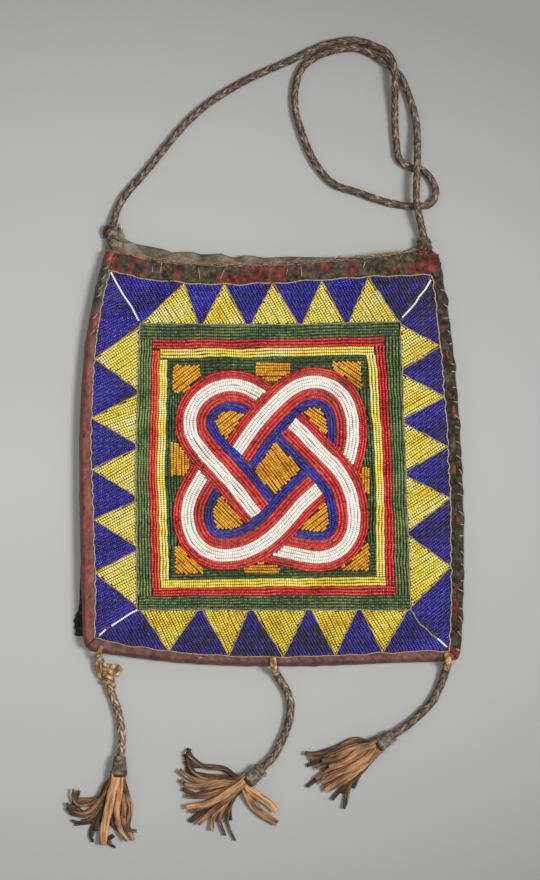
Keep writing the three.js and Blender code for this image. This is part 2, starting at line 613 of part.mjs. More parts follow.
/** One stripe of a hook, with its ends still under its neighbours. */
function hookStripe(stations, { outer, inner, rows }) {
  const profile = rowProfile(inner + FIT_GAP / 2, outer - FIT_GAP / 2, rows);
  const lines = profile.map(([distance]) => hookLine(stations, distance));
  const loops = stations.map((_, station) => profile.map(([, height], i) => (
    new THREE.Vector3(lines[i][station].x, lines[i][station].y, height)
  )));
  return toSolid(loft(loops, { cap: capOf(profile) }));
}

function addKnot() {
  CORNERS.forEach((corner, index) => {
    const covers = [hookBefore(index), hookAfter(index)].map((other) => hookBlock(other, COVER_FROM, COVER_TO));
    for (const stripe of KNOT_STRIPES) {
      const whole = hookStripe(HOOK_STATIONS[index], stripe);
      const trimmed = covers.reduce((rest, cover) => rest.subtract(cover), whole);
      add(`knot_${corner}_${stripe.name}`, toGeometry(trimmed), stripe.colour);
    }
  });
}

/** Outline of an orange field in a corner of the inner opening. */
function cornerOutline(index) {
  const corner = framePoint(index, 0, FRAME_ROWS);
  const next = framePoint(index, 0.5, FRAME_ROWS).sub(corner).normalize();
  const previous = framePoint((index + 3) % 4, 0.5, FRAME_ROWS).sub(corner).normalize();
  const onNext = corner.clone().addScaledVector(next, CORNER_FIELD);
  const onPrevious = corner.clone().addScaledVector(previous, CORNER_FIELD);
  const across = onNext.clone().add(onPrevious).sub(corner);
  return [corner, onNext, across, onPrevious];
}

/** Outline of an orange field against the middle of one side of the inner opening. */
function middleOutline(side) {
  const { from, to } = MIDDLE_FIELDS[side];
  const inward = FRAME_SIDES[side].clone().negate();
  const axis = FRAME_SIDES[side].x === 0 ? 'x' : 'y';
  const start = framePoint(side, 0, FRAME_ROWS);
  const end = framePoint(side, 1, FRAME_ROWS);
  const onSide = (coordinate) => (
    framePoint(side, (coordinate - start[axis]) / (end[axis] - start[axis]), FRAME_ROWS)
  );
  const [a, b] = [onSide(from), onSide(to)];
  const deeper = (point) => point.clone().addScaledVector(inward, FIELD_DEPTH);
  return [a, b, deeper(b), deeper(a)];
}

/** The field inside a lobe: up to the next hook's long leg, which ends against the lobe's own inner edge. */
function lobeField(index) {
  const inner = hookLine(HOOK_STATIONS[index], KNOT_INNER - FIT_GAP);
  const end = HOOK_STATIONS[hookAfter(index)].at(-1).point;
  const distances = inner.map((point) => point.distanceTo(end));
  const last = distances.indexOf(Math.min(...distances));
  return beadField(inner.slice(0, last + 1), ORANGE_CORNER_ROWS[index]).subtract(hookBlock(hookAfter(index)));
}

/** The field in the middle of the knot, between the four long legs. */
function centreField(knot) {
  const ends = HOOK_STATIONS.map((stations) => stations.at(-2).point);
  return beadField(ends, ORANGE_CENTRE_ROWS).subtract(knot);
}

function addKnotGround() {
  const knot = unite(CORNERS.map((_, index) => hookBlock(index)));
  const sides = ['top', 'right', 'foot', 'left'];
  const sideRows = [0, Math.PI / 2, 0, Math.PI / 2];
  const cornerOutlines = CORNERS.map((_, index) => cornerOutline(index));
  const middleOutlines = sides.map((_, side) => middleOutline(side));

  const groundRidges = Math.round((INNER_GREEN_ROWS + GROUND_ROWS) * ROW_PITCH / FIELD_RIDGE);
  const innerGreen = FRAME_ROWS - INNER_GREEN_ROWS;
  const ring = toSolid(frameRing(innerGreen, FRAME_ROWS + GROUND_ROWS, groundRidges));
  const fieldHoles = [...cornerOutlines, ...middleOutlines]
    .map((outline) => toSolid(prism(outline, FRONT_TOP - BEAD_HEIGHT, CLEAR_HEIGHT)));
  add('green_ground', toGeometry(ring.subtract(knot).subtract(unite(fieldHoles))), 'green');

  const field = (outline, rows) => toGeometry(beadField(inset(outline, FIT_GAP), rows).subtract(knot));
  CORNERS.forEach((corner, index) => {
    add(`orange_corner_${corner}`, field(cornerOutlines[index], ORANGE_CORNER_ROWS[index]), 'orange');
    add(`orange_lobe_${corner}`, toGeometry(lobeField(index)), 'orange');
  });
  sides.forEach((side, index) => {
    add(`orange_middle_${side}`, field(middleOutlines[index], sideRows[index]), 'orange');
  });
  add('orange_centre', toGeometry(centreField(knot)), 'orange');
}

function addFrames() {
  const redFrom = GREEN_ROWS;
  const yellowFrom = redFrom + RED_ROWS;
  add('green_frame', frameRing(0, redFrom), 'green');
  add('red_frame', frameRing(redFrom, yellowFrom), 'red');
  add('yellow_frame', frameRing(yellowFrom, yellowFrom + YELLOW_ROWS), 'yellow');
}

function addBorder() {
  addBorderSide('top', { edge: beadedTop, side: 0, reverse: false, teeth: TOP_TEETH, rows: STEEP_ROWS });
  addBorderSide('right', { edge: beadedRight, side: 1, reverse: true, teeth: RIGHT_TEETH, rows: RIGHT_ROWS });
  addBorderSide('foot', { edge: beadedFoot, side: 2, reverse: true, teeth: FOOT_TEETH, rows: STEEP_ROWS });
  addBorderSide('left', { edge: beadedLeft, side: 3, reverse: false, teeth: LEFT_TEETH, rows: LEFT_ROWS });
}

/** A round cord along a smooth line through its route points. */
function cord(route, diameter, steps) {
  const path = new THREE.CatmullRomCurve3(route.map((point) => new THREE.Vector3(...point)));
  const section = new THREE.Shape(shares(CORD_SIDES).slice(1).map((t) => (
    at(Math.cos(t * 2 * Math.PI), Math.sin(t * 2 * Math.PI)).multiplyScalar(diameter / 2)
  )));
  return new THREE.ExtrudeGeometry(section, { extrudePath: path, steps, bevelEnabled: false });
}

/** A round piece on a tassel's axis, between two distances along it. */
function roundPiece(tassel, from, to, radiusFrom, radiusTo) {
  const piece = new THREE.CylinderGeometry(radiusTo, radiusFrom, to - from, COLLAR_SIDES);
  piece.rotateZ(-Math.PI / 2).translate((from + to) / 2, 0, 0);
  piece.rotateZ(THREE.MathUtils.degToRad(tassel.heading));
  return piece.translate(tassel.collar.x, tassel.collar.y, COLLAR_FRINGE_RADIUS + FIT_GAP);
}

/** One leather strip of a fringe: leaves the root, bows aside and comes down to lie on the table. */
function fringeStrip(tassel, { root, tip, bow, width }) {
  const heading = THREE.MathUtils.degToRad(tassel.heading);
  const ahead = at(Math.cos(heading), Math.sin(heading));
  const aside = at(-ahead.y, ahead.x);
  const start = tassel.collar.clone()
    .addScaledVector(ahead, COLLAR_LENGTH / 2 + ROOT_LENGTH / 2)
    .addScaledVector(aside, root * (ROOT_RADIUS - width / 2));
  const reach = start.distanceTo(tip);
  const bend = start.clone().lerp(tip, 0.5)
    .addScaledVector(ahead, reach * STRIP_LEAD)
    .addScaledVector(aside, -bow);
  const line = new THREE.QuadraticBezierCurve(start, bend, tip);
  const rootHeight = COLLAR_FRINGE_RADIUS + FIT_GAP;
  const loops = shares(STRIP_STEPS).map((t) => {
    const middle = line.getPoint(t);
    const along = line.getTangent(t);
    const side = at(-along.y, along.x).multiplyScalar(width / 2);
    const low = THREE.MathUtils.lerp(rootHeight, 0, Math.sqrt(t) * (2 - Math.sqrt(t)));
    const high = low + STRIP_THICKNESS;
    const corner = (sign, height) => (
      new THREE.Vector3(middle.x + sign * side.x, middle.y + sign * side.y, height)
    );
    return [corner(-1, low), corner(1, low), corner(1, high), corner(-1, high)];
  });
  return toSolid(loft(loops, { cap: [[0, 1, 2], [0, 2, 3]] }));
}

function addTassel(tassel) {
  const half = COLLAR_LENGTH / 2;
  add(`${tassel.name}_tassel_cord`, cord(tassel.route, TASSEL_CORD_DIAMETER, TASSEL_CORD_STEPS), 'strap');
  const collar = roundPiece(tassel, -half, half, COLLAR_CORD_RADIUS, COLLAR_FRINGE_RADIUS);
  add(`${tassel.name}_tassel_collar`, toGeometry(toSolid(collar)), 'collar');
  const root = roundPiece(tassel, half + FIT_GAP, half + ROOT_LENGTH, ROOT_RADIUS, ROOT_RADIUS);
  const strips = tassel.strips.map((strip) => fringeStrip(tassel, strip));
  add(`${tassel.name}_tassel_fringe`, toGeometry(unite([toSolid(root), ...strips])), 'fringe');
}

/** A leather tab folded over the end of the strap, standing on the back panel's ear. */
function strapTab({ middle, width, depth }) {
  const loop = (taper, height) => [[-1, -1], [1, -1], [1, 1], [-1, 1]].map(([x, y]) => new THREE.Vector3(
    middle.x + x * (width / 2 - taper), middle.y + y * (depth / 2 - taper / 2), height,
  ));
  const shoulder = BACK_THICKNESS + TAB_HEIGHT - TAB_TAPER;
  const loops = [loop(0, BACK_THICKNESS), loop(0, shoulder), loop(TAB_TAPER, BACK_THICKNESS + TAB_HEIGHT)];
  return loft(loops, { cap: [[0, 1, 2], [0, 2, 3]] });
}

function addStrap() {
  add('strap', cord(STRAP_ROUTE, STRAP_DIAMETER, STRAP_STEPS), 'strap');
  add('left_strap_tab', strapTab(LEFT_TAB), 'tab');
  add('right_strap_tab', strapTab(RIGHT_TAB), 'tab');
}

addPanelsAndBindings();
addBorder();
addFrames();
addKnotGround();
addKnot();
addStrap();
TASSELS.forEach(addTassel);
add('left_tassel_thong', cord(THONG_ROUTE, THONG_DIAMETER, TASSEL_CORD_STEPS), 'strap');

export default bag;
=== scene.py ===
# %% [markdown]
# # A diviner's beaded bag
# The bag lies with its beaded face up, its strap looped above it and three tassels below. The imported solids
# give every piece its place; this lesson strings each glass bead, plaits the leather cords, and lays worn
# leather and moth-eaten felt along the edges. Lengths are in millimetres up to the lamps, and become metres
# where a piece is made or declared.

# %% Load the frame
from collections import namedtuple
from functools import partial

import bpy
import numpy as np
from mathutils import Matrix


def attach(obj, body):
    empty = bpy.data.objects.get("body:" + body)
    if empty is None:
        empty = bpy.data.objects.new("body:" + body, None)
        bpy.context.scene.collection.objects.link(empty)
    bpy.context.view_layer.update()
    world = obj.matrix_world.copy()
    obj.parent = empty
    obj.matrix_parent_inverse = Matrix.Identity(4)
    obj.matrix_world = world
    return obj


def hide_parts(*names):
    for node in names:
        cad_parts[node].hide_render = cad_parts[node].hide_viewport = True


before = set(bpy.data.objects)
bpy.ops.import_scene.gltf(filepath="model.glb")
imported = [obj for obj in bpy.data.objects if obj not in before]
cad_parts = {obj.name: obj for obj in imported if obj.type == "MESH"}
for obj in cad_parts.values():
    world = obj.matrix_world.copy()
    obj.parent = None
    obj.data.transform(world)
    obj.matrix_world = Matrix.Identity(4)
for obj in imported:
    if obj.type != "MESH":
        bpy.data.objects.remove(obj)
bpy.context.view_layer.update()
MM = 0.001
UP = np.array([0.0, 0.0, 1.0])
chance = np.random.default_rng(11)

# %% [markdown]
# ## Camera
# The photograph looks straight down. As on a real copy stand, a long lens about two metres up keeps the bag's
# edges from leaning; one pixel covers three quarters of a millimetre.

# %% Camera
PIXEL = 0.75
IMAGE_WIDTH, IMAGE_HEIGHT = 540, 880
PHOTO_ORIGIN = (272.0, 449.5)
CAMERA_HEIGHT, FOCUS_HEIGHT = 2200.0, 10.0
SENSOR = 36.0


def on_table(px, py):
    """A pixel of the photograph as millimetres in the bag's own frame."""
    return (px - PHOTO_ORIGIN[0]) * PIXEL, (PHOTO_ORIGIN[1] - py) * PIXEL


def line_on_table(pixels):
    """A line of pixels as plan points in millimetres."""
    return np.array([on_table(*pixel) for pixel in pixels])


camera_data = bpy.data.cameras.new("copy_stand_camera")
camera_data.sensor_fit = "VERTICAL"
camera_data.sensor_height = SENSOR
camera_data.lens = SENSOR * (CAMERA_HEIGHT - FOCUS_HEIGHT) / (IMAGE_HEIGHT * PIXEL)
camera = bpy.data.objects.new("copy_stand_camera", camera_data)
camera_x, camera_y = on_table(IMAGE_WIDTH / 2, IMAGE_HEIGHT / 2)
camera.location = (camera_x * MM, camera_y * MM, CAMERA_HEIGHT * MM)
bpy.context.collection.objects.link(camera)
bpy.context.scene.camera = camera
print("lens in mm:", round(camera_data.lens, 1))

# %% [markdown]
# ## Tools for shapes
# Nearly every piece is a profile carried along a path, as a cord or a binding is, or a sheet over a grid.
# Both are whole arrays of points, so these helpers only say which neighbours make a face.


# %% Grids, tubes and pieces
def quads(rows, columns, loop=True):
    """Faces between neighbours of a grid; they face the way of (along rows) x (along columns)."""
    i = np.arange(rows - 1)[:, None]
    j = np.arange(columns if loop else columns - 1)[None]
    k = (j + 1) % columns
    corners = [i * columns + j, (i + 1) * columns + j, (i + 1) * columns + k, i * columns + k]
    return np.stack(corners, axis=-1).reshape(-1, 4).tolist()


def tube_faces(rows, columns):
    """Faces of a closed tube: quads round it and a cap on each end."""
    last = (rows - 1) * columns
    caps = [list(range(columns)), list(range(last + columns - 1, last - 1, -1))]
    return quads(rows, columns) + caps


def sheet_faces(rows, columns):
    """Faces of a closed sheet: an upper grid, a lower grid turned over, and a rim between their borders."""
    size = rows * columns
    upper = np.array(quads(rows, columns, loop=False))
    lower = upper[:, ::-1] + size
    index = np.arange(size).reshape(rows, columns)
    border = np.concatenate([index[:, 0], index[-1, 1:], index[-2::-1, -1], index[0, -2:0:-1]])
    onward = np.roll(border, -1)
    rim = np.stack([border, border + size, onward + size, onward], axis=-1)
    return np.concatenate([upper, lower, rim]).tolist()


def facing_out(points, faces):
    """The faces as they are, or turned over where the volume that they close comes out negative."""
    flat = points.reshape(-1, 3)
    fan = np.array([[face[0], face[k], face[k + 1]] for face in faces for k in range(1, len(face) - 1)])
    a, b, c = flat[fan[:, 0]], flat[fan[:, 1]], flat[fan[:, 2]]
    volume = np.einsum("ij,ij->i", a, np.cross(b, c)).sum()
    return faces if volume > 0 else [face[::-1] for face in faces]


def closed(points):
    """Rings of points as a closed tube whose faces look outward."""
    return points, facing_out(points, tube_faces(*points.shape[:2]))


def join(parts):
    """Several (points, faces) parts as one: the faces of each count on from the points before it."""
    points, faces, base = [], [], 0
    for part_points, part_faces in parts:
        flat = part_points.reshape(-1, 3)
        faces += [[base + index for index in face] for face in part_faces]
        points.append(flat)
        base += len(flat)
    return np.concatenate(points), faces


def new_piece(name, points, faces, material, slot, *nodes):
    """A smooth mesh object from points in millimetres, riding on the bag in place of some solids."""
    mesh = bpy.data.meshes.new(name)
    mesh.from_pydata((points.reshape(-1, 3) * MM).tolist(), [], faces)
    mesh.polygons.foreach_set("use_smooth", np.ones(len(mesh.polygons), dtype=bool))
    mesh.materials.append(material)
    mesh.update()
    piece = bpy.data.objects.new(name, mesh)
    bpy.context.collection.objects.link(piece)
    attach(piece, "root")
    if nodes:
        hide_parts(*nodes)
    return piece


def paint(piece, name, values):
    """Stores one number a point, for the piece's material to read."""
    layer = piece.data.attributes.new(name, "FLOAT", "POINT")
    layer.data.foreach_set("value", np.ascontiguousarray(values, dtype=np.float32).ravel())


# %% [markdown]
# ## Tools for lines
# A line is a short list of given points. These helpers smooth it, measure it, look up places on it and
# carry a profile along it.

# %% Lines
DRIFT_WAVES, DRIFT_GAIN = 5, 1.6


def unit(vectors):
    """Vectors of length 1 that point the same way."""
    return vectors / np.linalg.norm(vectors, axis=-1, keepdims=True)


def run_along(path):
    """How far along a line each of its points lies."""
    return np.concatenate([[0], np.cumsum(np.linalg.norm(np.diff(path, axis=0), axis=1))])


def path_length(path):
    """The lengths of a line's stretches, added up."""
    return np.linalg.norm(np.diff(path, axis=0), axis=1).sum()


def interpolate(places, known, points):
    """Points on a line at some places, where its own points lie at the known places."""
    return np.stack([np.interp(places, known, column) for column in np.asarray(points).T], axis=-1)


def smooth_path(route, step):
    """Points a fixed step apart on a smooth line through a route: on each stretch a cubic whose slopes at
    both ends are those between the neighbouring points."""
    route = np.asarray(route, dtype=float)
    chord = np.linalg.norm(np.diff(route, axis=0), axis=1)
    knots = run_along(route)
    slopes = np.gradient(route, knots, axis=0)
    fine = np.linspace(0, knots[-1], 4 * int(knots[-1] / step) + 2)
    i = np.clip(np.searchsorted(knots, fine, side="right") - 1, 0, len(chord) - 1)
    u = ((fine - knots[i]) / chord[i])[:, None]
    h = chord[i][:, None]
    line = (route[i] * (1 + 2 * u) * (1 - u) ** 2 + slopes[i] * h * u * (1 - u) ** 2
            + route[i + 1] * u**2 * (3 - 2 * u) + slopes[i + 1] * h * u**2 * (u - 1))
    run = run_along(line)
    return interpolate(np.linspace(0, run[-1], int(run[-1] / step) + 2), run, line)


def carry(path, profile):
    """A profile of (aside, up) points carried along a path: aside is level and square to the path, and up is
    square to both. The profile is one for all points of the path, or one for each."""
    ahead = unit(np.gradient(path, axis=0))
    aside = unit(np.cross(ahead, UP))
    up = np.cross(aside, ahead)
    return path[:, None] + aside[:, None] * profile[..., 0:1] + up[:, None] * profile[..., 1:2]


def turns(sides):
    """Angles evenly round a circle."""
    return np.arange(sides) * 2 * np.pi / sides


def circle(sides, radius=1.0):
    """Points evenly round a circle: the cosine and the sine of their angles, times the radius."""
    return radius * np.stack([np.cos(turns(sides)), np.sin(turns(sides))], axis=-1)


def round_tube(path, sides, radius):
    """Points and faces of a plain round tube along a path."""
    return carry(path, circle(sides, radius)), tube_faces(len(path), sides)


def drift(x, y, size, seed):
    """A slow uneven change over the bag, about -1 to 1: the mean of a few sine waves of about this size in
    millimetres, in directions drawn from the seed."""
    draw = np.random.default_rng(seed)
    heading = draw.uniform(0, 2 * np.pi, DRIFT_WAVES)
    wave = 2 * np.pi / (size * draw.uniform(0.7, 1.6, DRIFT_WAVES))
    phase = draw.uniform(0, 2 * np.pi, DRIFT_WAVES)
    x, y = np.asarray(x)[..., None], np.asarray(y)[..., None]
    return np.sin((x * np.cos(heading) + y * np.sin(heading)) * wave + phase).mean(axis=-1) * DRIFT_GAIN


# %% [markdown]
# ## Tools for finishes
# Colours are sRGB hex codes, as read off a chart, turned to the linear light that shaders work in. Pattern
# sizes are in millimetres; a noise node wants how many fit in a metre.

# %% Colours and nodes
def linear(code):
    """An sRGB hex code as the linear colour that a shader socket holds."""
    srgb = np.array([int(code[i:i + 2], 16) for i in (1, 3, 5)]) / 255
    rgb = np.where(srgb <= 0.04045, srgb / 12.92, ((srgb + 0.055) / 1.055) ** 2.4)
    return (*rgb.tolist(), 1.0)


def per_metre(size):
    """The scale of a pattern whose features are this many millimetres across."""
    return 1 / (size * MM)


def connect(tree, node, inputs):
    """Gives each socket of a node its value, or the output that feeds it."""
    for socket, value in inputs.items():
        if isinstance(value, bpy.types.NodeSocket):
            tree.links.new(value, node.inputs[socket])
        else:
            node.inputs[socket].default_value = value


def add_node(tree, kind, inputs=None, stops=None, out=0, **settings):
    """Adds a node and returns one of its outputs. Settings are the node's own options, stops fill its colour
    ramp as (place, hex code) from low to high, inputs are connected, and out says which output."""
    node = tree.nodes.new("ShaderNode" + kind)
    for name, value in settings.items():
        setattr(node, name, value)
    if stops:
        elements = node.color_ramp.elements
        for element, (position, code) in zip(elements, (stops[0], stops[-1])):
            element.position, element.color = position, linear(code)
        for position, code in stops[1:-1]:
            elements.new(position).color = linear(code)
    connect(tree, node, inputs or {})
    return node.outputs[out]


def surface_takes(material, inputs):
    """Gives the sockets of a material's surface their values, or the outputs that feed them."""
    connect(material.node_tree, material.node_tree.nodes["Principled BSDF"], inputs)


def new_material(name, roughness, ior):
    """A material, add_node for its own tree, and its object coordinates."""
    material = bpy.data.materials.new(name)
    material.use_nodes = True
    surface_takes(material, {"Roughness": roughness, "IOR": ior})
    add = partial(add_node, material.node_tree)
    return material, add, add("TexCoord", out="Object")


def dress(material, colour, height, depth):
    """Gives a surface its colour, and a relief this many millimetres deep from a pattern of heights."""
    relief = add_node(material.node_tree, "Bump", {"Height": height, "Distance": depth * MM})
    surface_takes(material, {"Base Color": colour, "Normal": relief})


# %% [markdown]
# ## Plaited leather cords
# The strap and the tassels' cords are round plaits of twelve goat-leather thongs. Twelve tubes could be wound
# round each other, but one tube whose surface rises where a thong comes over gives the same relief from one
# grid and keeps the cord's true thickness.

# %% Plaited cord shape
PLAIT_STEP, PLAIT_SIDES = 0.5, 42
STRANDS_EACH_WAY = 6
PLAIT_RELIEF, CROWN_RISE, FLOAT_DIP = 0.2, 0.3, 0.3
# How many radians the plait turns to and fro, and over how many mm
SLOW_TURN, QUICK_TURN = (0.6, 55), (0.15, 9)
UNEVEN_LAY, UNEVEN_GIRTH = 1.1, 0.04
RIGHT_STRAND_TONES = np.array([0.04, -0.1, 0.08, -0.02, 0.1, -0.06])
LEFT_STRAND_TONES = np.array([-0.06, 0.08, -0.1, 0.05, -0.03, 0.09])


def plait(around, along, lay):
    """Relief and tone of a plait. Each family of strands lies at whole numbers of its own slanted coordinate.
    A strand goes over two of the other family and under two, so the sum of both numbers, counted in fours,
    says which one is on top. That one is round across its width and dips at the ends of its float."""
    turn = STRANDS_EACH_WAY * around / (2 * np.pi)
    right, left = turn - along / lay, turn + along / lay
    right_strand, left_strand = np.round(right), np.round(left)
    right_on_top = (right_strand + left_strand) % 4 < 2
    across = np.where(right_on_top, right - right_strand, left - left_strand)
    along_float = np.where(right_on_top, (right_strand + left + 0.5) % 4 - 1,
                           (right + left_strand + 0.5) % 4 - 3)
    roundness = np.sqrt(np.clip(1 - 4 * across**2, 0, 1))
    height = roundness * (1 - FLOAT_DIP * np.clip(along_float, -1, 1) ** 2)
    tone = np.where(right_on_top, RIGHT_STRAND_TONES[right_strand.astype(int) % STRANDS_EACH_WAY],
                    LEFT_STRAND_TONES[left_strand.astype(int) % STRANDS_EACH_WAY])
    return height, tone


def plaited(name, route, diameter, lay, girth, lightness, material):
    """A plaited cord along a route, closed at both ends. It turns slowly to and fro round its own middle, its
    lay is uneven, and it lies on the table where its route does. Girth is how much of its diameter is left
    after wear, and lightness is added to its tone."""
    path = smooth_path(route, PLAIT_STEP)
    lowest = diameter / 2 * girth * (1 + CROWN_RISE * PLAIT_RELIEF)
    path[:, 2] = np.maximum(path[:, 2] - diameter / 2 * (1 - girth), lowest)
    along = np.arange(len(path))[:, None] * PLAIT_STEP
    around = turns(PLAIT_SIDES)[None]
    turned = (around + SLOW_TURN[0] * np.sin(along / SLOW_TURN[1])
              + QUICK_TURN[0] * np.sin(along / QUICK_TURN[1]))
    laid = along + UNEVEN_LAY * drift(along, 3 * np.cos(around), 14, seed=16)
    height, tone = plait(turned, laid, lay)
    radius = diameter / 2 * girth * (1 - PLAIT_RELIEF + (1 + CROWN_RISE) * PLAIT_RELIEF * height)
    radius = radius * (1 + UNEVEN_GIRTH * drift(along, 2 * np.sin(around), 8, seed=17))
    points = carry(path, circle(PLAIT_SIDES)[None] * radius[..., None])
    piece = new_piece(name, points, tube_faces(len(path), PLAIT_SIDES), material, "strap_leather")
    # The relief is stored for the finish: a painted highlight on the crowns and painted shade in the creases
    paint(piece, "crown", height)
    paint(piece, "tone", tone + lightness)
    return piece, path


# %% [markdown]
# ## Finish of the plaits
# Vegetable-tanned goat leather. The stored relief drives the colour: the crowns are tan, partly polished by
# handling and partly a painted highlight, and the creases are nearly black, partly dirt and partly painted
# shade. Each thong has its own shade, and here and there a stretch keeps its first orange tan.

# %% Plaited leather
def plaited_leather():
    material, add, place = new_material("plaited_goat_leather", roughness=0.42, ior=1.5)
    relief = add("Attribute", attribute_name="crown", out="Fac")
    crown = add("MapRange", {"Value": relief, "To Min": 0.42})
    tone = add("Attribute", attribute_name="tone", out="Fac")
    mottle = add("TexNoise", {"Vector": place, "Scale": per_metre(3), "Detail": 7.0, "Roughness": 0.72})
    shade = add("Math", {0: tone, 1: mottle}, operation="ADD")
    # Crowns lighter as a painted highlight and creases darker as painted shade, over the leather's wear and
    # dirt
    wear_and_painted_light = add("Math", {0: crown, 1: shade}, operation="MULTIPLY")
    leather = add("ValToRGB", {"Fac": wear_and_painted_light}, stops=[
        (0.16, "#1C1510"), (0.32, "#423326"), (0.46, "#604B3A"), (0.6, "#907258"), (0.72, "#C6A586")])
    patch = add("TexNoise", {"Vector": place, "Scale": per_metre(40), "Detail": 2.0})
    ruddy = add("MapRange", {"Value": patch, "From Min": 0.56, "From Max": 0.7, "To Max": 0.4})
    colour = add("Mix", {"Factor": ruddy, 6: leather, 7: linear("#B4643A")}, out=2,
                 data_type="RGBA", blend_type="OVERLAY")
    grain = add("TexNoise", {"Vector": place, "Scale": per_metre(0.9), "Detail": 3.0})
    dress(material, colour, grain, 0.15)
    return material


plait_finish = plaited_leather()

# %% [markdown]
# ## Strap
# The photograph shows the strap from ear to ear, so its length is that line's: it climbs from the left ear,
# turns over at the top, comes back round in a wide loop and ends at the right ear.

# %% Strap
STRAP_DIAMETER, STRAP_LAY, STRAP_GIRTH = 6.0, 6.2, 0.89
STRAP_ROUTE = np.array([
    [-120.9, 163.7, 5.6], [-115.5, 182.6, 3.2], [-93.8, 210.4, 3.1], [-50.3, 258.4, 3.1], [-24.8, 274.9, 3.1],
    [13.5, 292.5, 3.1], [45, 306, 3.1], [63, 307.9, 3.1], [76.5, 303.8, 3.8], [87, 297.4, 7.2],
    [91.5, 287.6, 9.8], [92.3, 272.6, 8.4], [92.3, 253.1, 4.2], [93.4, 232.1, 3.1], [96.4, 217.5, 3.1],
    [103.5, 212.3, 3.1], [113.3, 210, 3.1], [120.8, 201.4, 3.1], [123.2, 192.4, 3.1], [118.5, 184.5, 3.1],
    [108.8, 183, 3.1], [88.5, 185.6, 3.1], [64.5, 193.5, 3.1], [45.8, 200.3, 3.1], [33, 214.9, 3.1],
    [22.5, 238.1, 3.1], [17.1, 259.1, 3.1], [17.8, 274, 3.1], [23.2, 287.6, 3.1], [33, 295.2, 3.1],
    [48, 300.5, 3.1], [63, 301.9, 3.1], [74.6, 298, 3.1], [84.8, 291, 3.1], [95.3, 282.4, 3.1],
    [102.8, 266.6, 3.2], [108, 247.9, 5], [109, 217.1, 9.7], [108.6, 184.9, 9.9], [114.4, 158.8, 6],
])

strap, strap_path = plaited("plaited_strap", STRAP_ROUTE, STRAP_DIAMETER, STRAP_LAY, STRAP_GIRTH, 0.0,
                            plait_finish)
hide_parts("strap")
print("strap length in mm:", round(path_length(strap_path)))

# %% [markdown]
# ## Tassel cords
# Three short plaits hang from the foot of the bag. Each ends in a leather collar that grips a fringe.

# %% Tassel cords
TASSEL_CORD_DIAMETER, TASSEL_LAY, TASSEL_GIRTH = 6.0, 6.2, 1.0
CORD_LIGHTNESS = {"left": 0.16, "middle": 0.05, "right": 0.01}
TASSEL_ROUTES = {
    "left": [[-131, -153.9, 4.5], [-126.5, -166, 3.6], [-122.6, -178.5, 3.1], [-118.3, -189.5, 3.1],
             [-114.4, -203, 3.2], [-112.8, -217, 4.5], [-114, -232.9, 6.2]],
    "middle": [[2, -164.9, 5], [4, -169.6, 3.8], [8.4, -176.9, 3.1], [12.8, -185.9, 3.1], [13.9, -196, 3.1],
               [12, -207.2, 3.1], [6.8, -220.4, 3.1], [1.1, -230.9, 4.2], [-9.4, -241.2, 6.2]],
    "right": [[132.1, -160.6, 5], [129.8, -168.8, 3.8], [125.6, -179.8, 3.1], [120, -190.2, 3.1],
              [111.8, -198.8, 3.1], [102.8, -206.6, 4.2], [89.5, -215.6, 6.2]],
}
tassel_cords = {name: plaited(f"{name}_plait", route, TASSEL_CORD_DIAMETER, TASSEL_LAY, TASSEL_GIRTH,
                              CORD_LIGHTNESS[name], plait_finish) for name, route in TASSEL_ROUTES.items()}
print("tassel cords in mm:", {name: round(path_length(path)) for name, (_, path) in tassel_cords.items()})

# %% [markdown]
# ## Collars
# A band of dark goatskin is wound round the cord's end and the fringe's roots, and the cord is knotted where
# it goes in. Both are rings of a slightly oval, lumpy circle along the tassel's own axis.

# %% Collars
# Middle of each collar, and the way its tassel points in degrees
COLLARS = {"left": ((-114.8, -238.5), -92), "middle": ((-13.6, -245.0), 222), "right": ((84.8, -218.6), 213)}
COLLAR_LENGTH, COLLAR_CORD_RADIUS, COLLAR_FRINGE_RADIUS = 10.5, 4.8, 6.0
COLLAR_HEIGHT, COLLAR_OVAL = 6.3, 0.96
COLLAR_SIDES = 28
COLLAR_LUMPS, KNOT_LUMPS, PLUG_LUMPS = 0.03, 0.07, 0.05
KNOT_SWELL = {"left": 1.0, "middle": 1.28, "right": 1.05}


def stained_leather(name, tones, mottle_size, grain_size, roughness):
    """Dyed leather: blotches where the dye and the dirt took unevenly, and a fine pebbled grain. Tones are
    its darkest, its middle and its lightest colour."""
    material, add, place = new_material(name, roughness, ior=1.5)
    blotch = add("TexNoise", {"Vector": place, "Scale": per_metre(mottle_size), "Detail": 6.0,
                              "Roughness": 0.62})
    tone = add("ValToRGB", {"Fac": blotch}, stops=list(zip((0.34, 0.5, 0.66), tones)))
    grain = add("TexVoronoi", {"Vector": place, "Scale": per_metre(grain_size)})
    dress(material, tone, grain, 0.18)
    return material


collar_finish = stained_leather("dark_wound_goatskin", ("#332B24", "#61564B", "#948673"), 4, 0.8, 0.6)
knot_finish = stained_leather("brown_knotted_thong", ("#3A271C", "#765440", "#AC8764"), 4, 0.8, 0.55)


def collar_axis(name):
    """The middle of a collar and the way its tassel points, in plan."""
    middle, heading = COLLARS[name]
    return np.array(middle), np.array([np.cos(np.radians(heading)), np.sin(np.radians(heading))])


def wound_band(name, reach, radius, lumpiness):
    """Rings along a tassel's axis: reach says how far along each ring lies, and radius how wide it is."""
    (x, y), heading = collar_axis(name)
    ahead = np.append(heading, 0)
    turn = turns(COLLAR_SIDES)
    lumps = 1 + lumpiness * (np.sin(3 * turn + x) + 0.7 * np.sin(7 * turn + reach[:, None]))
    ring = np.cross(ahead, UP) * np.cos(turn)[:, None] + UP * (COLLAR_OVAL * np.sin(turn))[:, None]
    middle = np.array([x, y, COLLAR_HEIGHT]) + ahead * reach[:, None]
    points = middle[:, None] + ring[None] * (radius[:, None] * lumps)[..., None]
    return points, tube_faces(len(reach), COLLAR_SIDES)


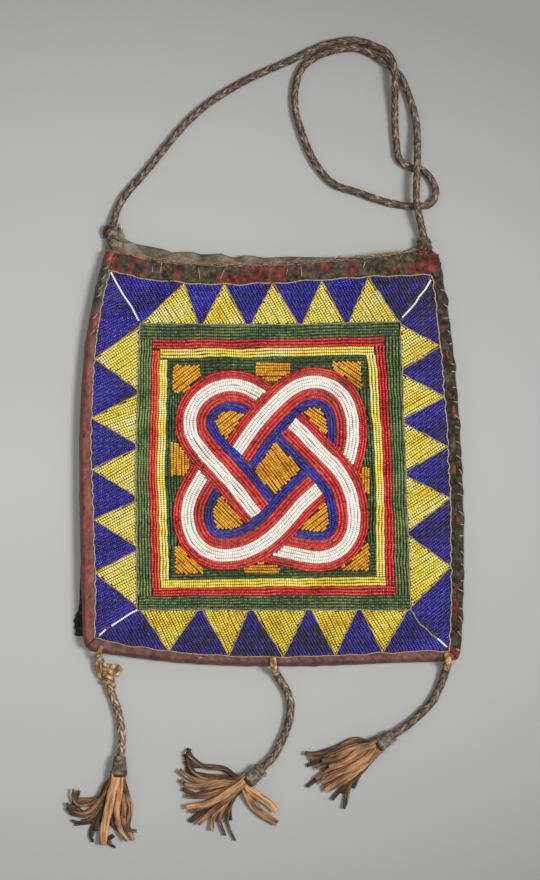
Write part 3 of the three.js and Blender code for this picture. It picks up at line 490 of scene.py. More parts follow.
def collar(name):
    """The band: wider towards the fringe, with the edge of the winding standing out as a soft step."""
    share = np.array([0, 0.0, 0.06, 0.2, 0.3, 0.36, 0.5, 0.7, 0.85, 0.94, 1.0, 1.0])
    swell = np.array([0.7, 0.92, 1.0, 1.02, 1.05, 0.98, 0.99, 1.0, 1.02, 1.02, 0.97, 0.8])
    radius = (COLLAR_CORD_RADIUS + (COLLAR_FRINGE_RADIUS - COLLAR_CORD_RADIUS) * share) * swell
    shape = wound_band(name, (share - 0.5) * COLLAR_LENGTH, radius, COLLAR_LUMPS)
    return new_piece(f"{name}_collar_band", *shape, collar_finish, "collar_leather", f"{name}_tassel_collar")


def cord_knot(name):
    """The knot in the cord's end: a lumpy bead against the collar."""
    reach = np.array([-3.4, -3.0, -2.2, -1.0, 0.0, 0.6, 0.8]) - COLLAR_LENGTH / 2
    radius = np.array([2.6, 3.4, 4.2, 4.5, 4.3, 3.6, 2.8]) * KNOT_SWELL[name]
    shape = wound_band(name, reach, radius, KNOT_LUMPS)
    return new_piece(f"{name}_cord_knot", *shape, knot_finish, "strap_leather")


collars = {name: collar(name) for name in COLLARS}
cord_knots = {name: cord_knot(name) for name in COLLARS}
print("collars:", sorted(collars))

# %% [markdown]
# ## Fringes
# Each fringe is a strip of goatskin cut into tails and rolled up in the collar, so the tails leave it side by
# side, with shorter dark ones below. Every tail has its own line on the table, its width, its height, and its
# pale flesh side or its dark grain side up. It is a flat profile with rounded edges carried along that line.

# %% Lines of the tails
# Each line in photograph pixels, then the width in mm, the height over the table in mm, and the tone
LEFT_TAILS = [
    ([(112, 774), (106.5, 787), (99.6, 797), (91.7, 804), (82.8, 807), (74.8, 805), (71.9, 797), (72.9, 790)],
     2.0, 3.0, 0.45),
    ([(111, 775), (103.5, 795), (94.6, 807), (84.7, 814), (72.9, 812), (65.9, 804)], 2.8, 2.4, 0.5),
    ([(112, 774), (102.5, 799), (92.6, 811), (81.8, 817), (70.9, 815), (65.9, 809)], 2.4, 1.8, 0.3),
    ([(114, 775), (104.5, 799), (92.6, 819), (79.8, 824), (70.9, 822)], 2.6, 1.2, 0.24),
    ([(114, 776), (101.5, 804), (93.6, 824), (89.7, 836.5), (92.6, 843.5)], 2.6, 1.1, 0.22),
    ([(115, 776), (107, 800), (99, 818), (94, 832)], 4.5, 1.3, 0.25),
    ([(116, 774), (111.4, 794), (108.5, 809), (104.5, 827), (102.5, 846)], 6.6, 3.6, 0.88),
    ([(120.8, 774), (119.4, 794), (116.4, 808), (117.4, 822), (121.3, 833.5), (127.3, 841.5)], 4.6, 3.3,
     0.82),
    ([(123, 774), (127.3, 797), (130.2, 809), (128.3, 822), (127.3, 831), (136.2, 832)], 3.2, 2.0, 0.55),
    ([(122, 776), (123.3, 794), (123.3, 809), (123.3, 822), (128.3, 833.5), (133.2, 841.5)], 3.8, 1.4, 0.7),
    ([(121, 776), (122, 800), (124.5, 818), (131, 836)], 3.0, 1.1, 0.2),
    ([(118, 774), (112, 800), (105, 828), (103, 842), (109, 845.5), (115, 849)], 2.2, 1.1, 0.22),
]
MIDDLE_TAILS = [
    ([(245, 773), (223.6, 770), (206, 769), (193, 761), (187, 752.5), (191, 750)], 1.8, 3.0, 0.42),
    ([(244, 774), (223.6, 778), (203.5, 779), (191, 771), (187, 758), (187, 753)], 2.2, 3.4, 0.46),
    ([(245, 775), (226, 781), (205, 783), (190, 779), (179, 771)], 4.4, 2.6, 0.66),
    ([(246, 776), (223.6, 785), (202, 789), (187, 786), (180, 781)], 3.8, 2.0, 0.62),
    ([(246, 777), (223.6, 789), (199.5, 797), (182, 790)], 3.8, 1.2, 0.24),
    ([(247, 778), (227.6, 793), (210, 803.5), (186, 808)], 5.0, 3.6, 0.78),
    ([(248, 780), (229, 798), (210, 814), (197.5, 825)], 4.6, 3.0, 0.55),
    ([(248, 781), (226, 803.5), (214, 817), (211, 832)], 3.6, 2.4, 0.75),
    ([(248, 782), (226, 806), (219.6, 819.5), (225, 837)], 2.6, 1.8, 0.5),
    ([(249, 782), (230, 809), (227.6, 823.5), (235, 842)], 2.0, 1.4, 0.35),
    ([(249, 782), (250, 802), (262, 815), (277, 824.5)], 6.2, 2.2, 0.64),
    ([(251, 782), (258, 797), (269, 804.5), (276.5, 812)], 5.6, 3.0, 0.88),
    ([(247, 779), (222, 796), (203, 812), (189, 823)], 4.0, 1.1, 0.22),
    ([(246, 776), (222, 783), (200, 787), (184, 785)], 4.0, 2.8, 0.66),
    ([(247, 778), (225, 791), (205, 797), (186, 797)], 4.2, 2.5, 0.6),
    ([(248, 780), (227, 797), (207, 807), (190, 813)], 3.8, 2.2, 0.56),
]
RIGHT_TAILS = [
    ([(378, 739), (357, 741), (334, 750), (314, 755), (305, 754)], 4.2, 2.6, 0.35),
    ([(379, 740), (360, 747), (338, 756), (322, 762)], 4.0, 3.4, 0.6),
    ([(380, 741), (362, 750), (344, 762), (329, 767)], 3.8, 3.8, 0.72),
    ([(381, 743), (364, 754), (348, 763), (330, 770), (316, 780)], 3.6, 2.8, 0.66),
    ([(382, 744), (368, 757), (349, 770), (332, 778), (321, 783.5)], 4.4, 3.4, 0.72),
    ([(383, 746), (369, 762), (348, 777), (334, 786), (325, 791.5)], 4.4, 3.0, 0.74),
    ([(384, 747), (364, 767), (346, 782), (328, 791.5)], 3.6, 2.0, 0.76),
    ([(383, 748), (362, 771), (353, 781), (339, 793), (332, 801)], 3.2, 1.2, 0.22),
    ([(384, 748), (360, 773), (349, 788), (344, 810)], 3.0, 1.6, 0.3),
    ([(385, 748), (355, 775.5), (350.5, 787), (346, 806.5)], 2.4, 1.2, 0.55),
    ([(380, 742), (350, 750), (323, 760.5), (307, 767)], 3.4, 1.1, 0.2),
    ([(382, 745), (350, 764), (323, 775.5), (307, 788)], 3.6, 1.1, 0.2),
    ([(377, 739), (356, 744), (335, 752), (310, 759)], 4.2, 2.0, 0.5),
    ([(380, 742), (361, 752), (341, 760), (316, 769)], 4.2, 2.3, 0.6),
    ([(382, 746), (365, 759), (346, 769), (322, 779)], 4.2, 2.5, 0.62),
    ([(384, 749), (367, 765), (349, 776), (324, 789)], 4.2, 2.2, 0.62),
]
print("tails that show:", len(LEFT_TAILS), len(MIDDLE_TAILS), len(RIGHT_TAILS))

# %% Fringe tails
TAIL_THICKNESS, TAIL_STEP = 1.1, 1.3
# Shares of a tail's length: down to its height, and where its tip begins; then how far the tip curls
TAIL_FALL, TIP_FROM, TIP_CURL = 0.55, 0.75, 0.45
# How much darker a tail's edges are, partly the cut grain and partly painted shade between tails, and how
# much darker its underside is as painted shade
EDGE_DARK_AND_PAINTED_SHADE, UNDERSIDE_PAINTED_SHADE = -0.42, -0.12
ROOT_SPREAD, ROOT_RADIUS, ROOT_STRAIGHT, ROOT_INSIDE = 6.9, 6.3, 4.5, 1.5
PLUG_REACH = np.array([-1.0, 0.4, 1.4, 2.2, 2.0])
PLUG_RADIUS = np.array([5.2, 5.5, 5.3, 4.4, 2.6])
# The second number lifts each tail's tone near its root as a painted highlight
PLUG_TONE, ROOT_PAINTED_HIGHLIGHT = 0.2, 0.16
UNDER_LAYERS, UNDER_SHAKE = 2, 0.9
TAIL_PROFILE = np.array([[-1, -0.3], [-0.85, -1], [0, -1], [0.85, -1], [1, -0.3], [1, 0.3], [0.85, 1],
                         [0, 0.75], [-0.85, 1], [-1, 0.3]])


def under_tails(tails, seed):
    """Shorter, darker tails below the ones that show: copies of their lines without the tips, shaken more
    and more towards the end."""
    draw = np.random.default_rng(seed)
    return [([(px + k * draw.normal(0, UNDER_SHAKE), py + k * draw.normal(0, UNDER_SHAKE))
              for k, (px, py) in enumerate(line[:-1])],
             draw.uniform(2.6, 4.0), draw.uniform(0.5, 1.0), draw.uniform(0.2, 0.5))
            for line, _, _, _ in tails * UNDER_LAYERS]


def rolled_roots(name):
    """What the tails are rolled up from: a dark plug that closes the collar's mouth between them."""
    points, faces = wound_band(name, COLLAR_LENGTH / 2 + PLUG_REACH, PLUG_RADIUS, PLUG_LUMPS)
    return points, faces, np.full(points.shape[:2], PLUG_TONE), np.zeros(points.shape)


def tail(line, width, rest_height, tone, root, ahead):
    """One tail's points, faces, shade and lie. From its root it goes straight on, comes down over half its
    length to its own height, and its tip curls up a little. Its edges are cut through to the dark grain and
    also carry painted shade; its underside carries painted shade, and its root a painted highlight."""
    plan = np.vstack([root[:2], root[:2] + ahead * ROOT_STRAIGHT, line_on_table(line[1:])])
    path = smooth_path(np.column_stack([plan, np.zeros(len(plan))]), TAIL_STEP)
    share = np.linspace(0, 1, len(path))
    fall = np.clip(share / TAIL_FALL, 0, 1)
    settle = fall**2 * (3 - 2 * fall)
    tip = np.clip((share - TIP_FROM) / (1 - TIP_FROM), 0, 1)
    path[:, 2] = (root[2] * (1 - settle) + (rest_height + TAIL_THICKNESS / 2) * settle
                  + TIP_CURL * rest_height * tip**2)
    widths = width / 2 * (0.95 + 0.14 * np.sin(np.pi * share) - 0.16 * share**3)
    profile = TAIL_PROFILE[None] * np.stack([widths, np.full_like(widths, TAIL_THICKNESS / 2)], -1)[:, None]
    cup = 0.12 * widths * np.sin(2.2 * np.pi * share + width)
    profile[..., 1] -= cup[:, None] * TAIL_PROFILE[None, :, 0] ** 2
    points = carry(path, profile)
    # Painted shade on the edges and the underside, and further down a painted highlight near the root
    edge = (np.where(np.abs(TAIL_PROFILE[:, 0]) > 0.9, EDGE_DARK_AND_PAINTED_SHADE, 0.0)
            + np.where(TAIL_PROFILE[:, 1] < 0, UNDERSIDE_PAINTED_SHADE, 0.0))
    worn_tip = 0.05 * tip - 0.1 * np.sin(9 * share + width)
    run = share * path_length(path)
    root_painted_highlight = ROOT_PAINTED_HIGHLIGHT * np.clip(2 - run / ROOT_STRAIGHT, 0, 1)
    shade = tone + edge[None] - worn_tip[:, None] + root_painted_highlight[:, None]
    along = np.broadcast_to(run[:, None], shade.shape)
    lie = np.stack([profile[..., 0], along, np.full_like(shade, 30 * width + 70 * tone)], axis=-1)
    return points, tube_faces(*points.shape[:2]), shade, lie


# %% [markdown]
# ## Finish of the fringe
# Undyed goatskin: the flesh side is a soft tan suede with lengthwise streaks, the grain side and the cut
# edges are dark brown. The stored tone chooses between them, and also holds painted shade on the edges and
# undersides and a painted highlight near the roots. Each point's lie, its place across and along its tail,
# lets the streaks run with the tail.

# %% Fringe leather
def cut_goatskin():
    material, add, place = new_material("cut_goatskin", roughness=0.75, ior=1.48)
    tone = add("Attribute", attribute_name="tone", out="Fac")
    lie = add("Attribute", attribute_name="lie", out="Vector")
    drawn_out = add("Mapping", {"Vector": lie, "Scale": (1.0, 0.1, 1.0)})
    streak = add("TexNoise", {"Vector": drawn_out, "Scale": per_metre(1.3), "Detail": 5.0, "Roughness": 0.65})
    spread = add("MapRange", {"Value": streak, "From Min": 0.3, "From Max": 0.7, "To Min": -0.56,
                              "To Max": 0.38})
    shade = add("Math", {0: tone, 1: spread}, operation="ADD")
    colour = add("ValToRGB", {"Fac": shade}, stops=[
        (0.0, "#271B12"), (0.3, "#5C4028"), (0.62, "#966A47"), (1.0, "#DAA470")])
    nap = add("TexNoise", {"Vector": place, "Scale": per_metre(0.7), "Detail": 4.0})
    dress(material, colour, nap, 0.2)
    return material


fringe_finish = cut_goatskin()
ROOT_RISE, MIDDLE_RIDE = 2.2, 2.1


def fringe(name, tails, seed):
    """All the tails of one tassel as one piece. Each tail's root stands across the collar's mouth where its
    line begins, and the ones that ride high stand nearer to its top."""
    middle, ahead = collar_axis(name)
    aside = np.array([-ahead[1], ahead[0]])
    mouth = middle + ahead * (COLLAR_LENGTH / 2 - ROOT_INSIDE)
    tails = tails + under_tails(tails, seed)
    lines, widths, rides, _ = zip(*tails)
    spread = ROOT_SPREAD - np.array(widths) / 2
    lateral = np.clip((line_on_table([line[0] for line in lines]) - mouth) @ aside, -spread, spread)
    room = np.sqrt(ROOT_RADIUS**2 - np.minimum(lateral**2, ROOT_RADIUS**2))
    rise = np.clip(ROOT_RISE * (np.array(rides) - MIDDLE_RIDE), -room, room)
    roots = np.column_stack([mouth + aside * lateral[:, None], COLLAR_HEIGHT + rise])
    made = [rolled_roots(name)] + [tail(*settings, root, ahead) for settings, root in zip(tails, roots)]
    shape = join([(points, faces) for points, faces, _, _ in made])
    piece = new_piece(f"{name}_fringe_tails", *shape, fringe_finish, "fringe_leather",
                      f"{name}_tassel_fringe")
    paint(piece, "tone", np.concatenate([shade.ravel() for _, _, shade, _ in made]))
    lie = np.concatenate([lay.ravel() for _, _, _, lay in made]).astype(np.float32) * MM
    piece.data.attributes.new("lie", "FLOAT_VECTOR", "POINT").data.foreach_set("vector", lie)
    return piece


fringes = {"left": fringe("left", LEFT_TAILS, 41), "middle": fringe("middle", MIDDLE_TAILS, 42),
           "right": fringe("right", RIGHT_TAILS, 43)}
print("fringes:", {name: len(piece.data.vertices) for name, piece in fringes.items()}, "points")

# %% [markdown]
# ## Light thongs
# Each tassel is tied on with a lighter thong. On the left it goes through a hole in the corner, doubles back
# in a slack bow and is knotted round the plait; in the middle and on the right it only passes over the
# binding. They are plain oval thongs carried along given lines.

# %% Light thongs
THONG_SIDES, THONG_STEP, THONG_OVAL = 10, 0.7, (1.15, 0.8)
KNOT_THONG, FOOT_THONG = 3.2, 4.4
thong_finish = stained_leather("light_tan_thong", ("#3E2A1A", "#A67C4E", "#EED2A0"), 4, 0.7, 0.42)


def thong(route, diameter):
    """A thong's points and faces: an oval, flatter than it is wide, carried along a smooth line."""
    path = smooth_path(route, THONG_STEP)
    return carry(path, circle(THONG_SIDES, diameter / 2) * THONG_OVAL), tube_faces(len(path), THONG_SIDES)


LEFT_THONGS = [
    [[-127.5, -146.5, 13.2], [-128.6, -150, 13.9], [-130, -153.8, 12.4], [-130.3, -156.6, 8.5],
     [-129, -160, 7]],
    [[-130, -156, 6.5], [-131.6, -161.5, 5], [-130.8, -167, 4], [-128.6, -171.6, 3.4]],
    [[-127, -161, 7], [-121.5, -163.4, 6.2], [-116.5, -163, 5], [-114.2, -166, 4], [-116.6, -169, 3.6],
     [-120.6, -169.2, 4.6], [-124, -170.6, 6.6]],
    [[-128.4, -166.4, 3.4], [-125.6, -164.4, 7.2], [-121.6, -166.8, 7.2], [-120.4, -170.4, 3.4]],
    [[-128.2, -171.4, 3.2], [-125.2, -169.6, 7.4], [-121, -171.6, 7.4], [-119.4, -174.8, 3.2]],
    [[-127.6, -175.6, 3.0], [-124.6, -174, 7.3], [-120.6, -175.8, 7.2], [-118.6, -178.6, 3.0]],
]
OVER_THE_FOOT = [
    [[0.4, -155.8, 13.6], [0.8, -159, 14.6], [1.2, -162.6, 12.8], [1.8, -165.4, 9.4], [3, -168.4, 6.4]],
    [[131.2, -152.6, 13.6], [131.6, -155.6, 14.7], [131.9, -158.6, 13], [132, -161.6, 9.4], [131, -165, 6.4]],
]
left_thong = new_piece("left_tassel_knot", *join([thong(route, KNOT_THONG) for route in LEFT_THONGS]),
                       thong_finish, "thong_leather", "left_tassel_thong")
new_piece("foot_thongs", *join([thong(route, FOOT_THONG) for route in OVER_THE_FOOT]), thong_finish,
          "thong_leather")
print("thong pieces:", len(LEFT_THONGS) + len(OVER_THE_FOOT))

# %% [markdown]
# ## What the tassels carry
# Each cord's collar, knot and fringe are gathered, with the thong on the left, and the imported cords are
# hidden.

carried = {name: [collars[name], cord_knots[name], fringes[name]] for name in TASSEL_ROUTES}
carried["left"].append(left_thong)
for name, (plait_piece, path) in tassel_cords.items():
    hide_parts(f"{name}_tassel_cord")
print("tassels carry:", {name: len(pieces) for name, pieces in carried.items()}, "pieces")

# %% [markdown]
# ## Edges of the bag
# The bag was cut by eye, so no edge is straight. Each is a line between two corners, pushed outward by a bow
# that is fullest somewhere along it. The back, the face, the bindings and the bead border all follow these
# edges.

# %% Edges of the bag
BACK_THICKNESS = 2.0
FRONT_UNDERSIDE, FRONT_TOP, BINDING_TOP = 9.5, 11.5, 13.0
LEFTWARD, RIGHTWARD, MOUTHWARD, FOOTWARD = (-1, 0), (1, 0), (0, 1), (0, -1)
BAG_TOP_LEFT, BAG_TOP_RIGHT = (-125, 149.5), (125.5, 146)
BAG_FOOT_LEFT, BAG_FOOT_RIGHT = (-141.8, -150.4), (141.4, -159.4)
FACE_TOP_LEFT, FACE_TOP_RIGHT = (-121.5, 133.9), (120, 130.5)
FACE_FOOT_LEFT, FACE_FOOT_RIGHT = (-132.8, -141.4), (133.1, -150.8)
MOUTH_LEFT, MOUTH_RIGHT = (-117, 147), (117, 148)
SIDE_SPAN, FOOT_SPAN = 300.0, 283.0
CORNER_PULL, CORNER_REACH = 2.4, 10.0
FROM_LEFT, FROM_RIGHT = (0.7, 0.7), (-0.7, 0.7)
PILLOW_MIDDLE, PILLOW_REACH = -9.0, (132.0, 146.0)
PILLOW_RISE, DIMPLE_DEPTH = 0.9, 0.5


def bowed(start, end, outward, bow, peak):
    """An edge as a function of t from 0 to 1: the straight line between two corners plus outward times bow
    times t^p (1 - t)^q, scaled to 1 where it is fullest, at t = peak."""
    before, after = max(1, peak / (1 - peak)), max(1, (1 - peak) / peak)
    fullest = peak**before * (1 - peak) ** after
    start, end, outward = np.array(start, float), np.array(end, float), np.array(outward, float)

    def point(t):
        t = np.asarray(t, dtype=float)[..., None]
        share = np.clip(t, 0, 1) ** before * np.clip(1 - t, 0, 1) ** after / fullest
        return start * (1 - t) + end * t + outward * bow * share
    return point


foot_cut = bowed(BAG_FOOT_LEFT, BAG_FOOT_RIGHT, FOOTWARD, 8.8, 0.4)
mouth_edge = bowed(MOUTH_LEFT, MOUTH_RIGHT, MOUTHWARD, -9, 0.4)
face_left = bowed(FACE_FOOT_LEFT, FACE_TOP_LEFT, LEFTWARD, 9.5, 0.66)
face_right = bowed(FACE_FOOT_RIGHT, FACE_TOP_RIGHT, RIGHTWARD, 5.9, 0.5)
face_foot = bowed(FACE_FOOT_LEFT, FACE_FOOT_RIGHT, FOOTWARD, 9.8, 0.4)
face_top = bowed(FACE_TOP_LEFT, FACE_TOP_RIGHT, MOUTHWARD, -9, 0.33)


def corner_pull(run, inward):
    """How far a worn corner is drawn in towards the middle of the bag: fullest at the corner, where the run
    along the edge is 0, and falling as a parabola to nothing at CORNER_REACH."""
    share = np.clip(1 - np.asarray(run, dtype=float) / CORNER_REACH, 0, 1) ** 2
    return CORNER_PULL * share[..., None] * np.array(inward)


def worn_side(foot, top, outward, cut, bulge, inward):
    """A side edge: its cut, a bulge where the binding has stretched, and a worn corner. Cut and bulge are a
    bow and the place of its peak."""
    as_cut, stretched = bowed(foot, top, outward, *cut), bowed((0, 0), (0, 0), outward, *bulge)
    return lambda t: as_cut(t) + stretched(t) + corner_pull(SIDE_SPAN * np.asarray(t), inward)


def bag_foot(t):
    """The foot: its cut and two worn corners."""
    from_left = FOOT_SPAN * np.asarray(t)
    return foot_cut(t) + corner_pull(from_left, FROM_LEFT) + corner_pull(FOOT_SPAN - from_left, FROM_RIGHT)


bag_left = worn_side(BAG_FOOT_LEFT, BAG_TOP_LEFT, LEFTWARD, (12.6, 0.65), (2.2, 0.16), FROM_LEFT)
bag_right = worn_side(BAG_FOOT_RIGHT, BAG_TOP_RIGHT, RIGHTWARD, (8.73, 0.46), (1.8, 0.82), FROM_RIGHT)


def puff(x, y):
    """How far the soft face stands above a flat one, in millimetres: a low pillow that falls to nothing at
    the edges, with shallow dimples where the bead stitches pull."""
    reach_x, reach_y = PILLOW_REACH
    pillow = np.clip(1 - (x / reach_x) ** 2, 0, 1) * np.clip(1 - ((y - PILLOW_MIDDLE) / reach_y) ** 2, 0, 1)
    return PILLOW_RISE * pillow + DIMPLE_DEPTH * np.sqrt(pillow) * drift(x, y, 48, seed=3)


def between_edges(foot, top, left, right, across, upward):
    """A flat sheet between four edges, as a grid of plan points (a Coons patch): the blend from foot to top,
    plus the blend from left to right, less the blend of the four corners. Across and upward hold the places
    of the grid's lines, from 0 to 1."""
    u, v = across[:, None, None], upward[None, :, None]
    foot_points, top_points = foot(across)[:, None], top(across)[:, None]
    left_points, right_points = left(upward)[None], right(upward)[None]
    corners = ((1 - u) * ((1 - v) * foot_points[0] + v * top_points[0])
               + u * ((1 - v) * foot_points[-1] + v * top_points[-1]))
    return (1 - v) * foot_points + v * top_points + (1 - u) * left_points + u * right_points - corners


def sheet(plan, upper, lower):
    """Points of a closed sheet from a grid of plan points and the heights of its two faces."""
    return np.stack([np.dstack([plan, upper]), np.dstack([plan, lower])])


print("bag in mm, foot to mouth:", round(bag_left(1)[1] - bag_foot(0.4)[1]))

# %% [markdown]
# ## Leather back
# The back is one hide of grey-brown goatskin. It stands above the mouth, higher at the left, where the strap
# is tied through its ear, and its top edge has dried into crumpled folds. The sheet is a patch between the
# bag's edges, with more grid lines towards the top, where two sets of slanting folds push it up and down.

# %% Leather back
BACK_ROWS, BACK_COLUMNS, TOP_CROWDING = 261, 121, 2.2
SIDE_TURN = 0.975
CRUMPLE_FROM, CRUMPLE_GROWS = 134, 12
FOLD_RISE, CROSS_RISE, DRIED_RISE, EDGE_LIFT = 1.7, 1.3, 1.5, 1.6
LOWEST_CRUMPLE, HIGHEST_CRUMPLE = -1.2, 6
# How much darker the creases are as painted shade, how much darker the top rim is, and the rim band's width
# in mm
CREASE_PAINTED_SHADE, RIM_SHADE, RIM_DARK_WIDTH = 0.6, 0.55, 1.6
TOP_EDGE = np.array([
    (-125, 157), (-123.4, 160.6), (-120, 162.8), (-112.6, 161.8), (-111, 158.2), (-101.6, 154.4),
    (-90.7, 152.3), (-81.7, 150.6), (-75, 148.2), (-66.7, 148.7), (-59.2, 148.5), (-53.5, 146.6),
    (-44.2, 146.8), (-38.2, 147.4), (-30.7, 144.8), (-26.2, 144.2), (-21.3, 146), (-13.5, 145.6), (-5.4, 144),
    (3, 144.6), (12.8, 145), (33, 144.6), (51, 144.2), (66.7, 144.4), (81, 146), (94.5, 147.6), (104, 150.6),
    (112, 155.4), (116.6, 156.6), (119, 151), (122.4, 148), (125.8, 146.6)])


def back_top(t):
    """The top edge of the hide, evenly in x from its left corner to its right one."""
    x = TOP_EDGE[0, 0] + (TOP_EDGE[-1, 0] - TOP_EDGE[0, 0]) * np.asarray(t, dtype=float)
    return np.stack([x, np.interp(x, TOP_EDGE[:, 0], TOP_EDGE[:, 1])], axis=-1)


def side_to(edge, corner):
    """A side edge that goes on from its own top corner to a higher one."""
    def point(t):
        t = np.asarray(t, dtype=float)[..., None]
        upper = edge(1.0) + (corner - edge(1.0)) * np.clip((t - SIDE_TURN) / (1 - SIDE_TURN), 0, 1)
        return np.where(t < SIDE_TURN, edge(np.clip(t[..., 0] / SIDE_TURN, 0, 1)), upper)
    return point


def crumpled_goatskin():
    """Grey suede side of an old hide: dusty patches, painted shade in the creases, a darker band along the
    top rim and a dry cracked grain.
    """
    material, add, place = new_material("grey_goatskin_suede", roughness=0.85, ior=1.46)
    dust = add("TexNoise", {"Vector": place, "Scale": per_metre(11), "Detail": 9.0,
                            "Roughness": 0.7, "Distortion": 0.6})
    tone = add("ValToRGB", {"Fac": dust}, stops=[
        (0.3, "#453C32"), (0.45, "#6E6253"), (0.58, "#8B7C69"), (0.72, "#A8957E")])
    crease_shade_and_rim_dark = add("Attribute", attribute_name="crease_shade_and_rim_dark", out="Fac")
    colour = add("Mix", {"Factor": crease_shade_and_rim_dark, 6: tone, 7: linear("#2A241E")}, out=2, data_type="RGBA")
    grain = add("TexNoise", {"Vector": place, "Scale": per_metre(1.8), "Detail": 8.0, "Roughness": 0.7})
    dress(material, colour, grain, 0.7)
    return material


back_plan = between_edges(bag_foot, back_top, side_to(bag_left, TOP_EDGE[0]),
                          side_to(bag_right, TOP_EDGE[-1]), np.linspace(0, 1, BACK_ROWS),
                          1 - (1 - np.linspace(0, 1, BACK_COLUMNS)) ** TOP_CROWDING)
back_x, back_y = back_plan[..., 0], back_plan[..., 1]
above_mouth = np.clip((back_y - CRUMPLE_FROM) / CRUMPLE_GROWS, 0, 1)
# Fullest at the left, and almost nothing at the right
left_share = np.clip((110 - back_x) / 200, 0.12, 1)
fold = np.abs(np.sin(back_x / 7.3 + 1.1 * np.sin(back_x / 19) + back_y / 6))
cross_fold = np.abs(np.sin(back_x / 10.5 - back_y / 5 + 1.7 * np.sin(back_x / 31)))
crumple = above_mouth * left_share * (FOLD_RISE * fold + CROSS_RISE * cross_fold
                                      + DRIED_RISE * drift(back_x, back_y, 13, seed=5))
lift = EDGE_LIFT * above_mouth + np.clip(crumple, LOWEST_CRUMPLE, HIGHEST_CRUMPLE)
back = new_piece("leather_back", sheet(back_plan, BACK_THICKNESS + lift, np.clip(lift - 0.2, 0, None)),
                 sheet_faces(BACK_ROWS, BACK_COLUMNS), crumpled_goatskin(), "back_leather", "back_panel")
# Painted shade in the creases of the crumpled top; a band along the top rim is made darker too
back_darkening = above_mouth * left_share * np.clip(CREASE_PAINTED_SHADE - 2.6 * np.minimum(fold, cross_fold), 0,
                                                  CREASE_PAINTED_SHADE)
rim_darkening = RIM_SHADE * np.clip((back_y - back_y[:, -1:] + RIM_DARK_WIDTH) / RIM_DARK_WIDTH, 0, 1) * (above_mouth > 0)
back_darkening = np.maximum(back_darkening, rim_darkening)
paint(back, "crease_shade_and_rim_dark", np.stack([back_darkening, back_darkening]))

# %% [markdown]
# ## Cloth face
# Under the beads lies a coarse cloth. Only slivers show between the rows: dark under the teeth and inside the
# frame, a little lighter under the blue, palest under the knot; the dark is partly dirt and partly painted
# shade in the gaps. It is a patch between the edges of the face, pushed up by the same pillow as the beads.

# %% Cloth face
FACE_ROWS, FACE_COLUMNS = 171, 171
CLOTH_TOP_LEFT, CLOTH_TOP_RIGHT = (-119, 146), (119, 146.2)
CLOTH_FOOT_LEFT, CLOTH_FOOT_RIGHT = (-136.5, -146), (136.4, -154.4)
# The bands of a wave node lie pi / (10 scale) metres apart: 5 mm
WEAVE_SCALE = 62.5


def coarse_cloth():
    """Homespun cotton: threads both ways, drawn far coarser than the real 0.8 mm because only slivers show,
    and a stored share of how light it is, partly clean cloth and partly painted shade in the gaps."""
    material, add, place = new_material("coarse_homespun_cotton", roughness=0.95, ior=1.45)
    warp, weft = (add("TexWave", {"Vector": place, "Scale": WEAVE_SCALE, "Distortion": 1.5}, out="Fac",
                      bands_direction=way) for way in "XY")
    weave = add("Math", {0: warp, 1: weft}, operation="MULTIPLY")
    dark = add("ValToRGB", {"Fac": weave}, stops=[(0.0, "#2C2014"), (0.9, "#6A5238")])
    light = add("ValToRGB", {"Fac": weave}, stops=[(0.0, "#8A7860"), (0.9, "#C8B594")])
    cloth_lightness = add("Attribute", attribute_name="cloth_lightness", out="Fac")
    # Darker cloth where the gaps between bead rows should look dark: dirt and painted shade
    colour = add("Mix", {"Factor": cloth_lightness, 6: dark, 7: light}, out=2, data_type="RGBA")
    dress(material, colour, weave, 0.3)
    return material


cloth_plan = between_edges(bowed(CLOTH_FOOT_LEFT, CLOTH_FOOT_RIGHT, FOOTWARD, 9, 0.4),
                           bowed(CLOTH_TOP_LEFT, CLOTH_TOP_RIGHT, MOUTHWARD, -8.6, 0.4),
                           bowed(CLOTH_FOOT_LEFT, CLOTH_TOP_LEFT, LEFTWARD, 11.5, 0.65),
                           bowed(CLOTH_FOOT_RIGHT, CLOTH_TOP_RIGHT, RIGHTWARD, 7.4, 0.46),
                           np.linspace(0, 1, FACE_ROWS), np.linspace(0, 1, FACE_COLUMNS))
cloth_rise = puff(cloth_plan[..., 0], cloth_plan[..., 1])
cloth = new_piece("cloth_face", sheet(cloth_plan, FRONT_TOP + cloth_rise, FRONT_UNDERSIDE + cloth_rise),
                  sheet_faces(FACE_ROWS, FACE_COLUMNS), coarse_cloth(), "front_cloth", "front_panel")

# %% [markdown]
# ## Beads
# The face is sewn all over with glass seed beads about two millimetres across, couched down in rows. A bead
# is a short barrel along its thread; there are some twenty thousand, so it has only sixteen faces and smooth
# shading rounds it. Yellow, white and orange beads are fat and narrow at their ends, so that a row looks
# dotted; blue, green and red ones are slimmer, and a row looks like a cord. A table of beads holds in each
# row the bead's middle, the way its thread runs, its uneven length, its thickness, its tone and its dust.

# %% Bead shape
ROW_PITCH, BEAD_PITCH = 2.05, 1.62
BEAD_SIT = 0.5
BEAD_SIDES = 6
BEAD_POINTS = 3 * BEAD_SIDES
BEAD_ENDS = [[0, 1, 2, 3], [0, 3, 4, 5], [15, 14, 13, 12], [17, 16, 15, 12]]
# Length in mm, how wide the ends are against the middle, and how full the bead fills its row
SLIM_BEAD, TOOTH_BEAD, BORDER_BEAD = (1.64, 0.86, 0.88), (1.68, 0.62, 1.12), (1.62, 0.84, 0.87)
ROUND_BEAD, SNUG_BEAD, FULL_BEAD = (1.5, 0.76, 1.07), (1.64, 0.86, 0.92), (1.57, 0.82, 1.18)
FRAME_BEAD = (1.52, 0.64, 1.2)
BAKE_EDGE = 0.2
DUST_FILM, DUST_DRIFT, MOST_DUST = 0.1, 0.16, 0.85
